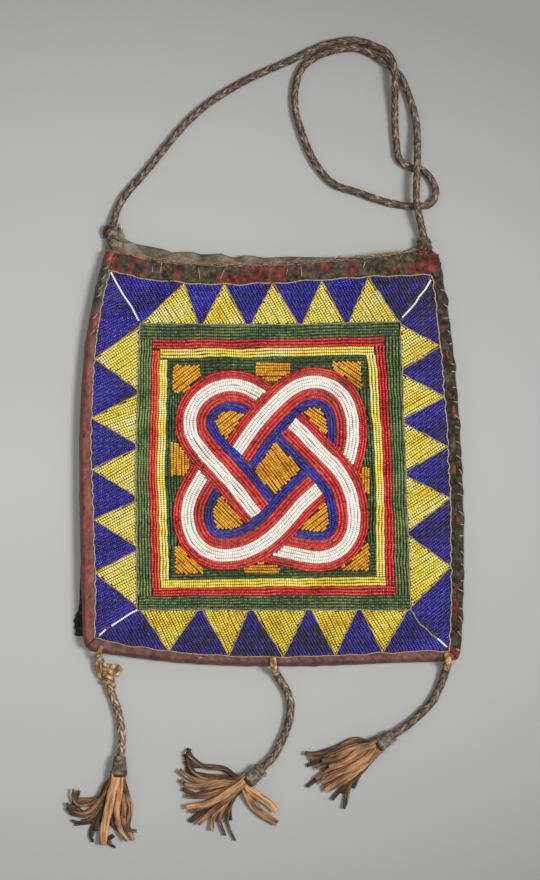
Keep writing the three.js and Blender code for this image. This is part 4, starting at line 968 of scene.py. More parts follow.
# Middle and reach of a dusty patch in mm along x and y, and how much it adds
DUSTY_PATCHES = [(102, 114, 32, 26, 0.85), (132, -10, 18, 120, 0.4), (-6, -143, 96, 16, 0.85),
                 (-95, -128, 26, 16, 0.12), (52, 38, 12, 20, 0.75), (-52, -31, 10, 22, 0.75)]


def dust_at(x, y):
    """The share of dust over the glass: a thin uneven film, and bell-shaped patches that were rubbed in."""
    dust = DUST_FILM + DUST_DRIFT * drift(x, y, 38, seed=12)
    for middle_x, middle_y, reach_x, reach_y, share in DUSTY_PATCHES:
        bell = np.exp(-((x - middle_x) / reach_x) ** 2 - ((y - middle_y) / reach_y) ** 2)
        dust = dust + share * bell * (0.85 + 0.6 * drift(x, y, 8, seed=13))
    return np.clip(dust, 0, MOST_DUST)


def bead_table(x, y, heading, thickness=ROW_PITCH, tone=0.5):
    """One row a bead: its place on the puffed face, its heading, its size with a maker's unevenness, and a
    tone that drifts over the bag and jumps a little from bead to bead."""
    count = len(x)
    uneven = chance.normal(0, 1, (5, count))
    height = FRONT_TOP + BEAD_SIT + puff(x, y) + 0.05 * uneven[0]
    shade = tone + 0.12 * uneven[1] + 0.14 * drift(x, y, 30, seed=8) + 0.06 * drift(x, y, 9, seed=9)
    return np.column_stack([x, y, height, np.broadcast_to(heading, count) + 0.05 * uneven[2],
                            1 + 0.05 * uneven[3], thickness * (0.98 + 0.025 * uneven[4]), shade,
                            dust_at(x, y)])


def bead_piece(name, table, kind, material, slot, *nodes):
    """All beads of a table as one mesh: three rings of six points each, turned to the bead's heading. Each
    bead has its own small cell of the map that textures are baked through."""
    bead_length, end_swell, girth = kind
    x, y, z, heading, length, thickness = table[:, :6].T[..., None, None]
    turn = np.radians(30 + 60 * np.arange(BEAD_SIDES))[None, None]
    along = np.array([-0.5, 0.0, 0.5])[None, :, None] * bead_length * length
    swell = np.array([end_swell, 1.0, end_swell])[None, :, None] * girth * thickness / 2
    aside = swell * np.cos(turn)
    points = np.stack([x + along * np.cos(heading) - aside * np.sin(heading),
                       y + along * np.sin(heading) + aside * np.cos(heading),
                       z + swell * np.sin(turn) + 0 * along], axis=-1)
    one = np.array(quads(3, BEAD_SIDES) + BEAD_ENDS)[None, :, ::-1]
    faces = (one + BEAD_POINTS * np.arange(len(table))[:, None, None]).reshape(-1, 4)
    piece = new_piece(name, points, faces.tolist(), material, slot)
    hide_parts(*nodes)
    paint(piece, "tone", np.repeat(table[:, 6], BEAD_POINTS))
    paint(piece, "dust", np.repeat(table[:, 7], BEAD_POINTS))
    cells = int(np.ceil(np.sqrt(len(table))))
    bead, point = np.divmod(faces.ravel(), BEAD_POINTS)
    ring, corner = point // BEAD_SIDES / 2, point % BEAD_SIDES / (BEAD_SIDES - 1)
    inside_cell = BAKE_EDGE + (1 - 2 * BAKE_EDGE) * np.stack([ring, corner], axis=-1)
    bake = (np.stack([bead % cells, bead // cells], axis=-1) + inside_cell) / cells
    piece.data.uv_layers.new(name="OFBake").data.foreach_set("uv", bake.astype(np.float32).ravel())
    print(name, "beads:", len(table))


# %% [markdown]
# ## Finish of the beads
# Opaque drawn glass, tumbled until its ends are round: hard, smooth and a little waxy with handling. Each
# bead comes from its own stretch of cane, so its tone picks a place on a ramp from the deepest to the palest
# glass. Brown dust hides some of the colour and takes off the shine.

# %% Glass beads
def drawn_glass(name, stops, dust_share=1.0, grime="#4E4334"):
    material, add, _ = new_material(name, roughness=0.3, ior=1.52)
    tone = add("Attribute", attribute_name="tone", out="Fac")
    film = add("Attribute", attribute_name="dust", out="Fac")
    dust = add("Math", {0: film, 1: dust_share}, operation="MULTIPLY")
    glass = add("ValToRGB", {"Fac": tone}, stops=stops)
    colour = add("Mix", {"Factor": dust, 6: glass, 7: linear(grime)}, out=2, data_type="RGBA")
    dulled = add("MapRange", {"Value": dust, "To Min": 0.17, "To Max": 0.65})
    surface_takes(material, {"Base Color": colour, "Roughness": dulled})
    return material


blue_glass = drawn_glass("blue_glass", [(0.1, "#15144E"), (0.5, "#312EB0"), (0.95, "#5856D8")],
                         grime="#302B2E")
yellow_glass = drawn_glass("yellow_glass", [(0.1, "#EBBA18"), (0.5, "#FFEA52"), (0.95, "#FFF9BE")], 0.16)
green_glass = drawn_glass("green_glass", [(0.1, "#1A3926"), (0.5, "#37663E"), (0.95, "#88985A")], 0.7)
red_glass = drawn_glass("red_glass", [(0.1, "#96121E"), (0.5, "#EA3034"), (0.85, "#F65E4E"),
                                      (1.0, "#F47C34")], 0.42)
white_glass = drawn_glass("white_glass", [(0.1, "#EEE2D0"), (0.5, "#FFF9EE"), (0.95, "#FFFEFA")], 0.04)
orange_glass = drawn_glass("orange_glass", [(0.1, "#B06C14"), (0.5, "#F8AE20"), (0.95, "#FFD458")], 0.5)

# %% [markdown]
# ## Rows of beads
# Straight rows over an outline, rows that follow a path and rows round a frame cover the whole face. Straight
# rows come from a slanted grid of bead places, of which the ones inside the outline are kept.

# %% Rows of beads
# How far apart the rows and the beads on a thread lie, and how far a row sways, in mm
FIELD_LAY, TOOTH_LAY = (ROW_PITCH, BEAD_PITCH, 0.24), (1.95, 1.86, 0.13)
SWAY_LENGTH, BEAD_WANDER = 11, 0.06


def inside(x, y, outline):
    """Which points lie inside an outline: those from which a line to the right crosses it an odd number of
    times."""
    a, b = np.asarray(outline), np.roll(outline, -1, axis=0)
    x, y = np.asarray(x)[..., None], np.asarray(y)[..., None]
    straddles = (a[:, 1] > y) != (b[:, 1] > y)
    rise = np.where(a[:, 1] == b[:, 1], 1, b[:, 1] - a[:, 1])
    crossing = a[:, 0] + (y - a[:, 1]) / rise * (b[:, 0] - a[:, 0])
    return (straddles & (x < crossing)).sum(axis=-1) % 2 == 1


def near_outline(x, y, outline, distance):
    """Which points lie within a distance of an outline's own line."""
    a, b = np.asarray(outline), np.roll(outline, -1, axis=0)
    point = np.stack([np.asarray(x), np.asarray(y)], axis=-1)[..., None, :]
    along = np.clip(((point - a) * (b - a)).sum(-1) / ((b - a) ** 2).sum(-1), 0, 1)
    nearest = a + along[..., None] * (b - a)
    return (np.linalg.norm(point - nearest, axis=-1) < distance).any(axis=-1)


def inside_any(x, y, outlines):
    """Which points lie inside at least one of the outlines."""
    return np.any([inside(x, y, outline) for outline in outlines], axis=0)


def outside_all(table, outlines):
    """The beads of a table whose middles lie in none of the outlines."""
    return table[~inside_any(table[:, 0], table[:, 1], outlines)]


def straight_rows(outline, degrees, margin=0.6, tone=0.5, lay=FIELD_LAY):
    """Beads in straight rows over an outline, each row shifted along its thread by its own amount and
    wandering a little from side to side."""
    row_pitch, bead_pitch, sway = lay
    outline = np.asarray(outline, dtype=float)
    middle = outline.mean(axis=0)
    reach = np.linalg.norm(outline - middle, axis=1).max() + row_pitch
    rows = np.arange(-int(reach / row_pitch), int(reach / row_pitch) + 1)[:, None]
    places = np.arange(-int(reach / bead_pitch), int(reach / bead_pitch) + 1)[None]
    along = places * bead_pitch + chance.uniform(0, bead_pitch, rows.shape)
    across = rows * row_pitch + sway * np.sin(along / SWAY_LENGTH + chance.uniform(0, 6, rows.shape))
    across = across + chance.normal(0, BEAD_WANDER, across.shape)
    turn = np.radians(degrees)
    x = (middle[0] + along * np.cos(turn) - across * np.sin(turn)).ravel()
    y = (middle[1] + along * np.sin(turn) + across * np.cos(turn)).ravel()
    keep = inside(x, y, outline)
    x, y = x[keep], y[keep]
    keep = ~near_outline(x, y, outline, margin)
    return bead_table(x[keep], y[keep], turn, row_pitch, tone)


def rows_on_path(path, pitch=BEAD_PITCH, thickness=ROW_PITCH, tone=0.5):
    """Beads strung along a line of plan points, one every pitch, each lying along the line."""
    run = run_along(path)
    stops = np.arange(pitch * chance.uniform(0.4, 0.6), run[-1] - pitch * 0.4, pitch)
    x, y = interpolate(stops, run, path).T
    ahead = interpolate(stops + 0.3, run, path) - interpolate(stops - 0.3, run, path)
    return bead_table(x, y, np.arctan2(ahead[:, 1], ahead[:, 0]), thickness, tone)


# %% [markdown]
# ## Frames round the knot
# Four-sided rings of bead rows: five green, three red, three yellow and two green, and inside them the green
# ground. The rows of the top and the foot run the full width of their ring, and those of the sides stop
# against them, as the bead worker laid them. One red row ran out on the left and was finished in orange.

# %% Frames
# Corners from the top left round to the foot left, and sides from the top round to the left
FRAME_OUTER = np.array([(-99.2, 94.6), (96.2, 96.2), (104.1, -120.4), (-101, -120.2)])
FRAME_INNER = np.array([(-74.3, 63.4), (66, 66.4), (73.1, -90.8), (-72.4, -93.4)])
FRAME_SIDES = np.array([MOUTHWARD, RIGHTWARD, FOOTWARD, LEFTWARD], dtype=float)
FRAME_OUTER_BOW, FRAME_INNER_BOW = np.array([-2.0, 0, 0, 2.6]), np.array([0, 3.7, 0, 2.8])
FRAME_ROWS, FRAME_ROW_POINTS = 13, 60
SLOW_SWAY, QUICK_SWAY = 0.45, 0.24
GREEN_ROWS, RED_ROWS, YELLOW_ROWS, GROUND_ROWS = (0, 5), (5, 8), (8, 11), (11, 22)
ORANGE_ROW, ORANGE_TONE = (7, 3), 1.12
GREEN_TONES, RED_TONES = (0.6, 0.72, 0.6, 0.8), (0.5, 0.5, 0.5, 0.68)
YELLOW_FRAME_TONES, GROUND_TONES = (0.58, 0.62, 0.46, 0.68), (0.4, 0.44, 0.4, 0.44)


def frame_line(side, depth):
    """A side of the ring at a depth counted in rows: its first corner, its bowed middle and its last one."""
    share = depth / FRAME_ROWS
    corners = FRAME_OUTER + (FRAME_INNER - FRAME_OUTER) * share
    bow = FRAME_OUTER_BOW[side] + (FRAME_INNER_BOW[side] - FRAME_OUTER_BOW[side]) * share
    first, last = corners[side], corners[(side + 1) % 4]
    return np.array([first, (first + last) / 2 + FRAME_SIDES[side] * bow, last])


def frame_ring(depth):
    """The whole ring at one depth as a loop of plan points."""
    return np.concatenate([frame_line(side, depth)[:2] for side in range(4)])


def frame_row(side, depth, ring_from, ring_to):
    """The path of one row: a top or foot row is stretched to the outer border of its ring, and a side row is
    cut back to the ring's inner border."""
    line = frame_line(side, depth)
    axis = side % 2
    target = ring_to if axis else ring_from
    ends = [(0, frame_line((side + 3) % 4, target)[-1]), (2, frame_line((side + 1) % 4, target)[0])]
    for end, corner in ends:
        share = (corner[axis] - line[1][axis]) / (line[end][axis] - line[1][axis])
        line[end] = line[1] + (line[end] - line[1]) * share
    row = interpolate(np.linspace(0, 2, FRAME_ROW_POINTS), [0, 1, 2], line)
    sway = SLOW_SWAY * drift(*row.T, 26, seed=21) + QUICK_SWAY * drift(*row.T, 9, seed=23)
    return row + FRAME_SIDES[side] * sway[:, None]


def frame_rows(ring_from, ring_to, tones):
    """All rows of a ring; tones holds one tone for each of its four sides."""
    rows = [rows_on_path(frame_row(side, row + 0.5, ring_from, ring_to),
                         tone=ORANGE_TONE if (row, side) == ORANGE_ROW else tones[side])
            for row in range(ring_from, ring_to) for side in range(4)]
    return np.concatenate(rows)


bead_piece("green_frame_beads", frame_rows(*GREEN_ROWS, GREEN_TONES), SLIM_BEAD, green_glass, "green_beads",
           "green_frame")
bead_piece("red_frame_beads", frame_rows(*RED_ROWS, RED_TONES), SNUG_BEAD, red_glass, "red_beads",
           "red_frame")
bead_piece("yellow_frame_beads", frame_rows(*YELLOW_ROWS, YELLOW_FRAME_TONES), FRAME_BEAD, yellow_glass,
           "yellow_beads", "yellow_frame")

# %% [markdown]
# ## Knot
# Two long links pass over and under each other, a Solomon's knot, laid as four hooks: a short leg, a round
# lobe and a long leg over the neighbouring hooks, each with outer red, white, inner red and blue stripes. A
# hook is a given middle line of its white stripe; the other rows keep a fixed distance from it, and
# beads that fall under a neighbour are left out.

# %% Knot
HOOKS = {
    "top_left": [(2, 35.6), (-8.7, 40.9), (-19.5, 46.5), (-30.8, 48.4), (-44.2, 45.4), (-55.9, 36.4),
                 (-61.5, 24.4), (-60.8, 13.1), (-54, 0.8), (-39.3, -15.4), (-26.4, -30.4), (-10, -51),
                 (-2.6, -60.4)],
    "top_right": [(53.2, -22.4), (56.6, -9.4), (59.4, 1.1), (60.5, 13.9), (58.9, 28.1), (52.5, 41.2),
                  (42.8, 48.4), (32.2, 50.6), (21.8, 49), (12, 43.5), (2.2, 34.7), (-12.8, 18.1),
                  (-27.4, -2.8), (-34.5, -12.4)],
    "foot_right": [(-8.2, -73.1), (5, -75.7), (17.2, -78.2), (30, -80.5), (42.8, -79.5), (53.6, -73.1),
                   (59.7, -63.4), (61.5, -50.6), (60, -38.6), (54.8, -23.6), (48, -13.9), (35.2, -0.4),
                   (21, 14.2), (13.5, 21.4), (5.2, 29.6)],
    "foot_left": [(-46.6, -8.6), (-52.9, -20.7), (-58.1, -29.6), (-62, -38.6), (-63.6, -49.1), (-62, -59.6),
                  (-57, -69.4), (-49.5, -76), (-40.5, -79), (-30.8, -79), (-21, -76.9), (-10.5, -72.2),
                  (0.8, -64.1), (10.5, -54.4), (21, -42.1), (35.1, -28.9), (43.9, -20.6)],
}
CORNERS = list(HOOKS)
# Distances of a stripe's two borders outward from the white stripe's middle, and its number of rows
KNOT_STRIPES = {"outer_red": (4.85, 11.0, 3), "white": (-4.85, 4.85, 4), "inner_red": (-12.5, -4.85, 3),
                "blue": (-19.1, -12.5, 3)}
KNOT_OUTER, KNOT_INNER = KNOT_STRIPES["outer_red"][1], KNOT_STRIPES["blue"][0]
WHOLE_HOOK, OVER_NEIGHBOURS = (0.0, 1.0), (0.3, 0.84)
ROW_WANDER = 0.22
hook_paths = {corner: smooth_path(route, 1.0) for corner, route in HOOKS.items()}


def hook_line(corner, distance):
    """The line at a distance outward from the middle of a hook's white stripe."""
    ahead = unit(np.gradient(hook_paths[corner], axis=0))
    return hook_paths[corner] + distance * np.stack([ahead[:, 1], -ahead[:, 0]], axis=-1)


def hook_outline(corner, gap=0.4, stretch=WHOLE_HOOK):
    """The outline of a stretch of a hook, all its stripes together, made wider by a gap."""
    outer, inner = hook_line(corner, KNOT_OUTER + gap), hook_line(corner, KNOT_INNER - gap)
    first, last = (round(share * (len(outer) - 1)) for share in stretch)
    return np.concatenate([outer[first:last + 1], inner[first:last + 1][::-1]])


def stripe_rows(stripe, tone=0.5):
    """The rows of one stripe in all four hooks, without what lies under the hooks before and after."""
    inner, outer, rows = KNOT_STRIPES[stripe]
    pitch = (outer - inner) / rows
    tables = []
    for index, corner in enumerate(CORNERS):
        covers = [hook_outline(CORNERS[(index + step) % 4], stretch=OVER_NEIGHBOURS) for step in (1, 3)]
        for row in range(rows):
            line = hook_line(corner, inner + (row + 0.5) * pitch)
            line = line + ROW_WANDER * drift(*line.T, 13, seed=22 + row)[:, None]
            tables.append(outside_all(rows_on_path(line, thickness=pitch, tone=tone), covers))
    return np.concatenate(tables)


knot_red = np.concatenate([stripe_rows("outer_red", 0.46), stripe_rows("inner_red", 0.54)])
bead_piece("knot_red_beads", knot_red, SNUG_BEAD, red_glass, "red_beads",
           *[f"knot_{corner}_{stripe}" for corner in CORNERS for stripe in ("outer_red", "inner_red")])
bead_piece("knot_white_beads", stripe_rows("white"), FULL_BEAD, white_glass, "white_beads",
           *[f"knot_{corner}_white" for corner in CORNERS])
bead_piece("knot_blue_beads", stripe_rows("blue"), SNUG_BEAD, blue_glass, "blue_beads",
           *[f"knot_{corner}_blue" for corner in CORNERS])

# %% [markdown]
# ## Orange fields and green ground
# Orange fills what the knot leaves open: its lobes, its middle, the corners of the frame and the middle of
# each side; between these the green ground shows. Orange rows slant differently in every field; the ground's
# rows follow the frame.

# %% Orange fields and green ground
CORNER_FIELD, FIELD_DEPTH = 21, 14
MIDDLE_FIELDS = [(-12, 13.5), (-34, -13), (-21.8, 6), (-20, 5.5)]
CORNER_SLANTS, CENTRE_SLANT = [38, -35, 38, -44], -53
# How far along each hook a corner of the centre lies
CENTRE_PLACE = 17 / 18
ORANGE_MARGIN, KNOT_GAP = 0.3, 0.35


def corner_field(index):
    """A square field in a corner of the frame's opening."""
    corner = FRAME_INNER[index]
    onward = unit(frame_line(index, FRAME_ROWS)[1] - corner) * CORNER_FIELD
    back = unit(frame_line((index + 3) % 4, FRAME_ROWS)[1] - corner) * CORNER_FIELD
    return np.array([corner, corner + onward, corner + onward + back, corner + back])


def middle_field(side):
    """A field against the middle of one side of the opening."""
    axis = side % 2
    line = frame_line(side, FRAME_ROWS)
    order = np.argsort(line[:, axis])
    ends = np.array(MIDDLE_FIELDS[side], dtype=float)
    offset = np.interp(ends, line[order, axis], line[order, 1 - axis])
    near = np.stack([offset, ends] if axis else [ends, offset], axis=-1)
    return np.concatenate([near, near[::-1] - FRAME_SIDES[side] * FIELD_DEPTH])


def lobe_field(index):
    """What a hook curls round: its inner line as far as the end of the hook that closes the lobe."""
    inner = hook_line(CORNERS[index], KNOT_INNER)
    closing_end = hook_paths[CORNERS[(index + 1) % 4]][-1]
    return inner[:np.linalg.norm(inner - closing_end, axis=1).argmin() + 1]


knot_outlines = [hook_outline(corner, KNOT_GAP) for corner in CORNERS]
corner_fields, middle_fields, lobe_fields = ([field(index) for index in range(4)]
                                             for field in (corner_field, middle_field, lobe_field))
centre_field = np.array([path[round(CENTRE_PLACE * (len(path) - 1))] for path in hook_paths.values()])
slanted = list(zip(corner_fields, CORNER_SLANTS)) + list(zip(middle_fields, (0, 90, 0, 90)))
slanted += list(zip(lobe_fields, CORNER_SLANTS))
orange = [straight_rows(field, slant, ORANGE_MARGIN) for field, slant in slanted]
orange += [straight_rows(centre_field, CENTRE_SLANT, margin=0)]
bead_piece("orange_beads", outside_all(np.concatenate(orange), knot_outlines), ROUND_BEAD, orange_glass,
           "orange_beads", *[f"orange_corner_{corner}" for corner in CORNERS],
           *[f"orange_lobe_{corner}" for corner in CORNERS],
           *[f"orange_middle_{side}" for side in ("top", "right", "foot", "left")], "orange_centre")
orange_fields = corner_fields + middle_fields + lobe_fields + [centre_field]
ground = outside_all(frame_rows(*GROUND_ROWS, GROUND_TONES), knot_outlines + orange_fields)
bead_piece("green_ground_beads", ground, SLIM_BEAD, green_glass, "green_beads", "green_ground")

# %% [markdown]
# ## Blue border with yellow teeth
# Along each side five yellow triangles stand on the green frame and point outward, on a blue ground. The blue
# rows slant one way all along a side, and the yellow rows nearly with them.

# %% Border
SIDE_EDGES = {"top": (face_top, 0), "right": (face_right, 1), "foot": (face_foot, 2), "left": (face_left, 3)}
# Where the tips of the teeth lie along their side, and where their bases begin and end
TEETH = {
    "top": ([-65.7, -35.7, 0.8, 37.3, 72], [-99.2, -53.9, -17.9, 21, 55.7, 96.3]),
    "right": ([-87.6, -36.4, 1.9, 39.4, 77.3], [-119.6, -63, -17.9, 21.4, 58.1, 95.4]),
    "foot": ([-77.5, -32.3, 8.3, 47.3, 82.9], [-100, -54, -16, 27.5, 65.3, 103.4]),
    "left": ([-92.2, -52.1, -14.6, 23.6, 67.9], [-119.4, -74.1, -36.8, 2.3, 43.1, 94.2]),
}
VALLEY_GAP, TOOTH_MARGIN, TOOTH_CLEARANCE = 3.5, 0.2, 0.7
BLUE_SLANTS = {"top": -63, "right": 38, "foot": -61, "left": 25}
YELLOW_SLANTS = {"top": -58, "right": 32, "foot": -62, "left": 29}
YELLOW_TONES = {"top": 0.58, "right": 0.55, "foot": 0.36, "left": 0.62}
SLANT_ERROR = 3
BORDER_CLOTH_LIGHTNESS, KNOT_CLOTH_LIGHTNESS, KNOT_INSET = 0.12, 0.5, 2.0


def on_edge(side, coordinate):
    """The point of the face's edge at one coordinate: x along the top and foot, y along the sides."""
    edge, index = SIDE_EDGES[side]
    start, end = edge(0.0)[index % 2], edge(1.0)[index % 2]
    return edge((coordinate - start) / (end - start))


def frame_border(side):
    """The green frame's outer border on one side, from its lower coordinate to its higher one."""
    index = SIDE_EDGES[side][1]
    line = frame_line(index, 0)
    return line[np.argsort(line[:, index % 2])], index % 2


def on_frame(side, coordinate):
    """The point of the green frame's outer border at one coordinate."""
    line, axis = frame_border(side)
    other = np.interp(coordinate, line[:, axis], line[:, 1 - axis])
    return np.array([other, coordinate] if axis else [coordinate, other])


def teeth_of(side):
    """The yellow triangles of one side: two base corners on the frame and an apex on the face's edge."""
    apexes, bounds = TEETH[side]
    return [np.array([on_frame(side, begin + VALLEY_GAP / 2), on_frame(side, end - VALLEY_GAP / 2),
                      on_edge(side, apex)]) for apex, begin, end in zip(apexes, bounds, bounds[1:])]


def ground_of(side):
    """The blue ground of one side, between the face's edge and the frame and the two corner diagonals."""
    return np.concatenate([SIDE_EDGES[side][0](np.linspace(0, 1, 40)), frame_border(side)[0][::-1]])


all_teeth = {side: teeth_of(side) for side in TEETH}
for side, triangles in all_teeth.items():
    yellow = [straight_rows(tooth, YELLOW_SLANTS[side] + chance.normal(0, SLANT_ERROR), TOOTH_MARGIN,
                            YELLOW_TONES[side], TOOTH_LAY) for tooth in triangles]
    bead_piece(f"yellow_teeth_{side}", np.concatenate(yellow), TOOTH_BEAD, yellow_glass, "yellow_beads",
               f"yellow_triangles_{side}")
    blue = outside_all(straight_rows(ground_of(side), BLUE_SLANTS[side]), triangles)
    near = [near_outline(blue[:, 0], blue[:, 1], tooth, TOOTH_CLEARANCE) for tooth in triangles]
    bead_piece(f"blue_ground_{side}", blue[~np.any(near, axis=0)], BORDER_BEAD, blue_glass, "blue_beads",
               f"blue_border_{side}")

every_tooth = [tooth for triangles in all_teeth.values() for tooth in triangles]
cloth_x, cloth_y = cloth_plan[..., 0], cloth_plan[..., 1]
# Painted shade: the cloth is darkened under the teeth and the frame, and lightened under the border and the
# knot
under_dirt_and_gap_shade = inside_any(cloth_x, cloth_y, every_tooth + [frame_ring(0)])
under_knot = inside_any(cloth_x, cloth_y, [hook_outline(corner, -KNOT_INSET) for corner in CORNERS])
cloth_lightness_share = np.where(under_dirt_and_gap_shade, 0.0, BORDER_CLOTH_LIGHTNESS) + np.where(under_knot, KNOT_CLOTH_LIGHTNESS, 0.0)
paint(cloth, "cloth_lightness", np.stack([cloth_lightness_share, cloth_lightness_share]))

# %% [markdown]
# ## Couched cords and white strings
# A thin tan cord is couched down round the frame, every tooth and the foot; along the other edges of the face
# a paler one was used. Single strings of white beads lie on the corner diagonals, whole at the top and broken
# at the foot, where bare cord goes on.

# %% Couched cords
COUCHED_DIAMETER, COUCHED_SIT, COUCHED_STEP = 0.9, 1.3, 1.4
STRING_LIFT, STRING_THICKNESS, STRING_TONE = 0.8, 1.5, 0.8
THREAD_SIDES, EDGE_POINTS = 6, 60
BARE_DIAGONALS = [
    line_on_table([(106, 629), (103, 631), (98, 637)]),
    np.vstack([FRAME_OUTER[2], line_on_table([(420, 624), (430, 633), (437, 638)])]),
]
WHITE_STRINGS = [
    line_on_table([(111, 272.5), (115.8, 281.8), (123.2, 294.8), (131.6, 306.9), (139, 321.5)]),
    line_on_table([(430.5, 280), (425.4, 289.2), (418.9, 296.7), (415.2, 303.2), (408.7, 310.6),
                   (401.6, 318)]),
    np.vstack([FRAME_OUTER[3], line_on_table([(130, 613.5), (121, 619.5), (111, 626)])]),
    line_on_table([(106, 629), (99, 635.5)]), line_on_table([(437, 638), (448, 648)]),
]


def couched(plan, sway=0.4):
    """A sewn cord along plan points: a small round tube, swaying a little, that follows the puffed face."""
    run = run_along(plan)
    even = np.linspace(0, run[-1], max(4, int(run[-1] / COUCHED_STEP)))
    x, y = interpolate(even, run, plan).T
    x, y = x + sway * drift(x, y, 8, seed=31), y + sway * drift(x, y, 11, seed=32)
    path = np.column_stack([x, y, FRONT_TOP + COUCHED_SIT + puff(x, y)])
    return round_tube(path, THREAD_SIDES, COUCHED_DIAMETER / 2)


def spun_thread(name, dark, light):
    """Hand-spun cotton: a dull yarn, its twist drawn 1.2 mm apart so that it shows."""
    material, add, place = new_material(name, roughness=0.9, ior=1.45)
    twist = add("TexNoise", {"Vector": place, "Scale": per_metre(1.2), "Detail": 3.0})
    tone = add("ValToRGB", {"Fac": twist}, stops=[(0.3, dark), (0.7, light)])
    dress(material, tone, twist, 0.3)
    return material


def white_string(plan):
    """A string of small white beads laid over the border, higher than the rows beside it and without dust."""
    table = rows_on_path(plan, thickness=STRING_THICKNESS, tone=STRING_TONE)
    table[:, 2] += STRING_LIFT
    table[:, 7] = 0
    return table


tan_thread = spun_thread("tan_cotton_thread", "#7A6854", "#C8B090")
pale_thread = spun_thread("pale_cotton_thread", "#84786A", "#CFC3B0")
edge_share = np.linspace(0, 1, EDGE_POINTS)
tan_lines = [couched(tooth[[0, 2, 1]]) for tooth in every_tooth]
tan_lines += [couched(np.vstack([frame_ring(0), frame_ring(0)[:1]])), couched(face_foot(edge_share), 0.6)]
tan_lines += [couched(line) for line in BARE_DIAGONALS]
new_piece("couched_cords", *join(tan_lines), tan_thread, "thong_leather")
pale_lines = [couched(edge(edge_share), 0.7) for edge in (face_left, face_right, face_top)]
new_piece("pale_edge_cords", *join(pale_lines), pale_thread, "thong_leather")
bead_piece("white_corner_strings", np.concatenate([white_string(plan) for plan in WHITE_STRINGS]), FULL_BEAD,
           white_glass, "white_beads")

# %% [markdown]
# ## Bindings
# The raw edges are bound with strips folded over them: red-brown leather on the left and along the foot, dark
# felt on the right, a patchwork of felt at the mouth. A binding is a profile carried along two edges at once:
# it stands on the back at the outer edge, rounds over a shoulder, and lies on the face as far as the beads.
# Stitches and patches lie on it too, so it is written as a function of how far along and how far across a
# point lies.

# %% Binding surface
BINDING_THICKNESS, BINDING_GAP, SHOULDER = 1.2, 0.3, 4.5
BINDING_ROWS, BINDING_GIRTH = 300, 20.0
PUCKER, INNER_DIP, INNER_WAVER = 0.3, 0.35, 0.4
# Its two lines, the axis it runs along (0 for x), its length in mm, its seed and how far it wavers in mm
Strip = namedtuple("Strip", "pair axis span seed waver")


def stations(outer, inner):
    """Outer and inner points of a binding as one function of t from 0 to 1."""
    places = np.linspace(0, 1, len(outer))
    return lambda t: [interpolate(t, places, line) for line in (outer, inner)]


def side_stations(bag_edge, face_edge, mouth_corner):
    """Stations beside the face, and then on to the corner of the mouth."""
    share = np.linspace(0, 1, 150)
    mouth_corner = np.array(mouth_corner, dtype=float)
    beside = (face_edge(1.0)[1] - face_edge(0.0)[1]) / (mouth_corner[1] - face_edge(0.0)[1])
    last = np.linspace(0, 1, 9)[1:, None]
    outer = np.concatenate([bag_edge(share * beside), bag_edge(beside) * (1 - last) + bag_edge(1.0) * last])
    inner = np.concatenate([face_edge(share), face_edge(1.0) * (1 - last) + mouth_corner * last])
    return stations(outer, inner)


def binding_point(strip, t, w, lift=0.0):
    """A point of a binding: t runs along it, w from 0 at its outer foot over the shoulder (w = 0.5) to its
    inner edge (w = 1), and lift is measured out from the surface. The shoulder is a quarter ellipse; the
    strip wavers a little, and puckers where it was sewn."""
    outer, inner = strip.pair(t)
    width = np.linalg.norm(inner - outer, axis=-1)
    inward = (inner - outer) / width[..., None]
    turn = np.clip(w / 0.5, 0, 1) * np.pi / 2
    flat = np.clip((w - 0.5) / 0.5, 0, 1)
    waver = strip.waver * drift(outer[..., 0], outer[..., 1], 16, seed=strip.seed)
    across = (SHOULDER - (SHOULDER + lift) * np.cos(turn) + flat * (width - BINDING_GAP - SHOULDER)
              + waver * (1 - np.sin(turn)) + INNER_WAVER * waver * flat)
    pucker = PUCKER * drift(outer[..., 0] + 9 * w, outer[..., 1] - 6 * w, 6, seed=strip.seed + 50)
    height = (BACK_THICKNESS + (BINDING_TOP - BACK_THICKNESS + lift + pucker) * np.sin(turn)
              - INNER_DIP * flat**2)
    return np.concatenate([outer + inward * across[..., None], height[..., None]], axis=-1)


def place_on(strip, pixel):
    """How far along a binding a pixel of the photograph lies: its row on a side, its column on the foot."""
    t = np.linspace(0, 1, 400)
    middle = sum(strip.pair(t)) / 2
    return float(np.interp(on_table(pixel, pixel)[strip.axis], middle[:, strip.axis], t))


def patch_share(strip, t, w, patches):
    """How deep in a patch each point of a binding lies, 0 at its rim and 1 from halfway in: a falling cone
    over an ellipse."""
    shares = [2 - 2 * np.hypot((t - place_on(strip, pixel)) * strip.span / (length / 2),
                               (w - across) * BINDING_GIRTH / (width / 2))
              for pixel, across, length, width in patches]
    return np.clip(np.max(shares, axis=0), 0, 1)


def binding_piece(name, strip, material, slot, node, red, dark):
    """A closed binding: its outer surface and, inside it by its thickness, its inner one. It stores how red
    and how dark each point's patch is."""
    across = np.concatenate([np.linspace(0, 0.5, 9), np.linspace(0.5, 1, 13)[1:]])
    t, w = np.broadcast_arrays(np.linspace(0.001, 0.999, BINDING_ROWS)[:, None], across[None])
    lower = binding_point(strip, t, w, -BINDING_THICKNESS)[:, ::-1]
    points = np.concatenate([binding_point(strip, t, w), lower], axis=1)
    piece = new_piece(name, *closed(points), material, slot, node)
    for layer, patches in (("red", red), ("dark", dark)):
        share = patch_share(strip, t, w, patches)
        paint(piece, layer, np.concatenate([share, share[:, ::-1]], axis=1))


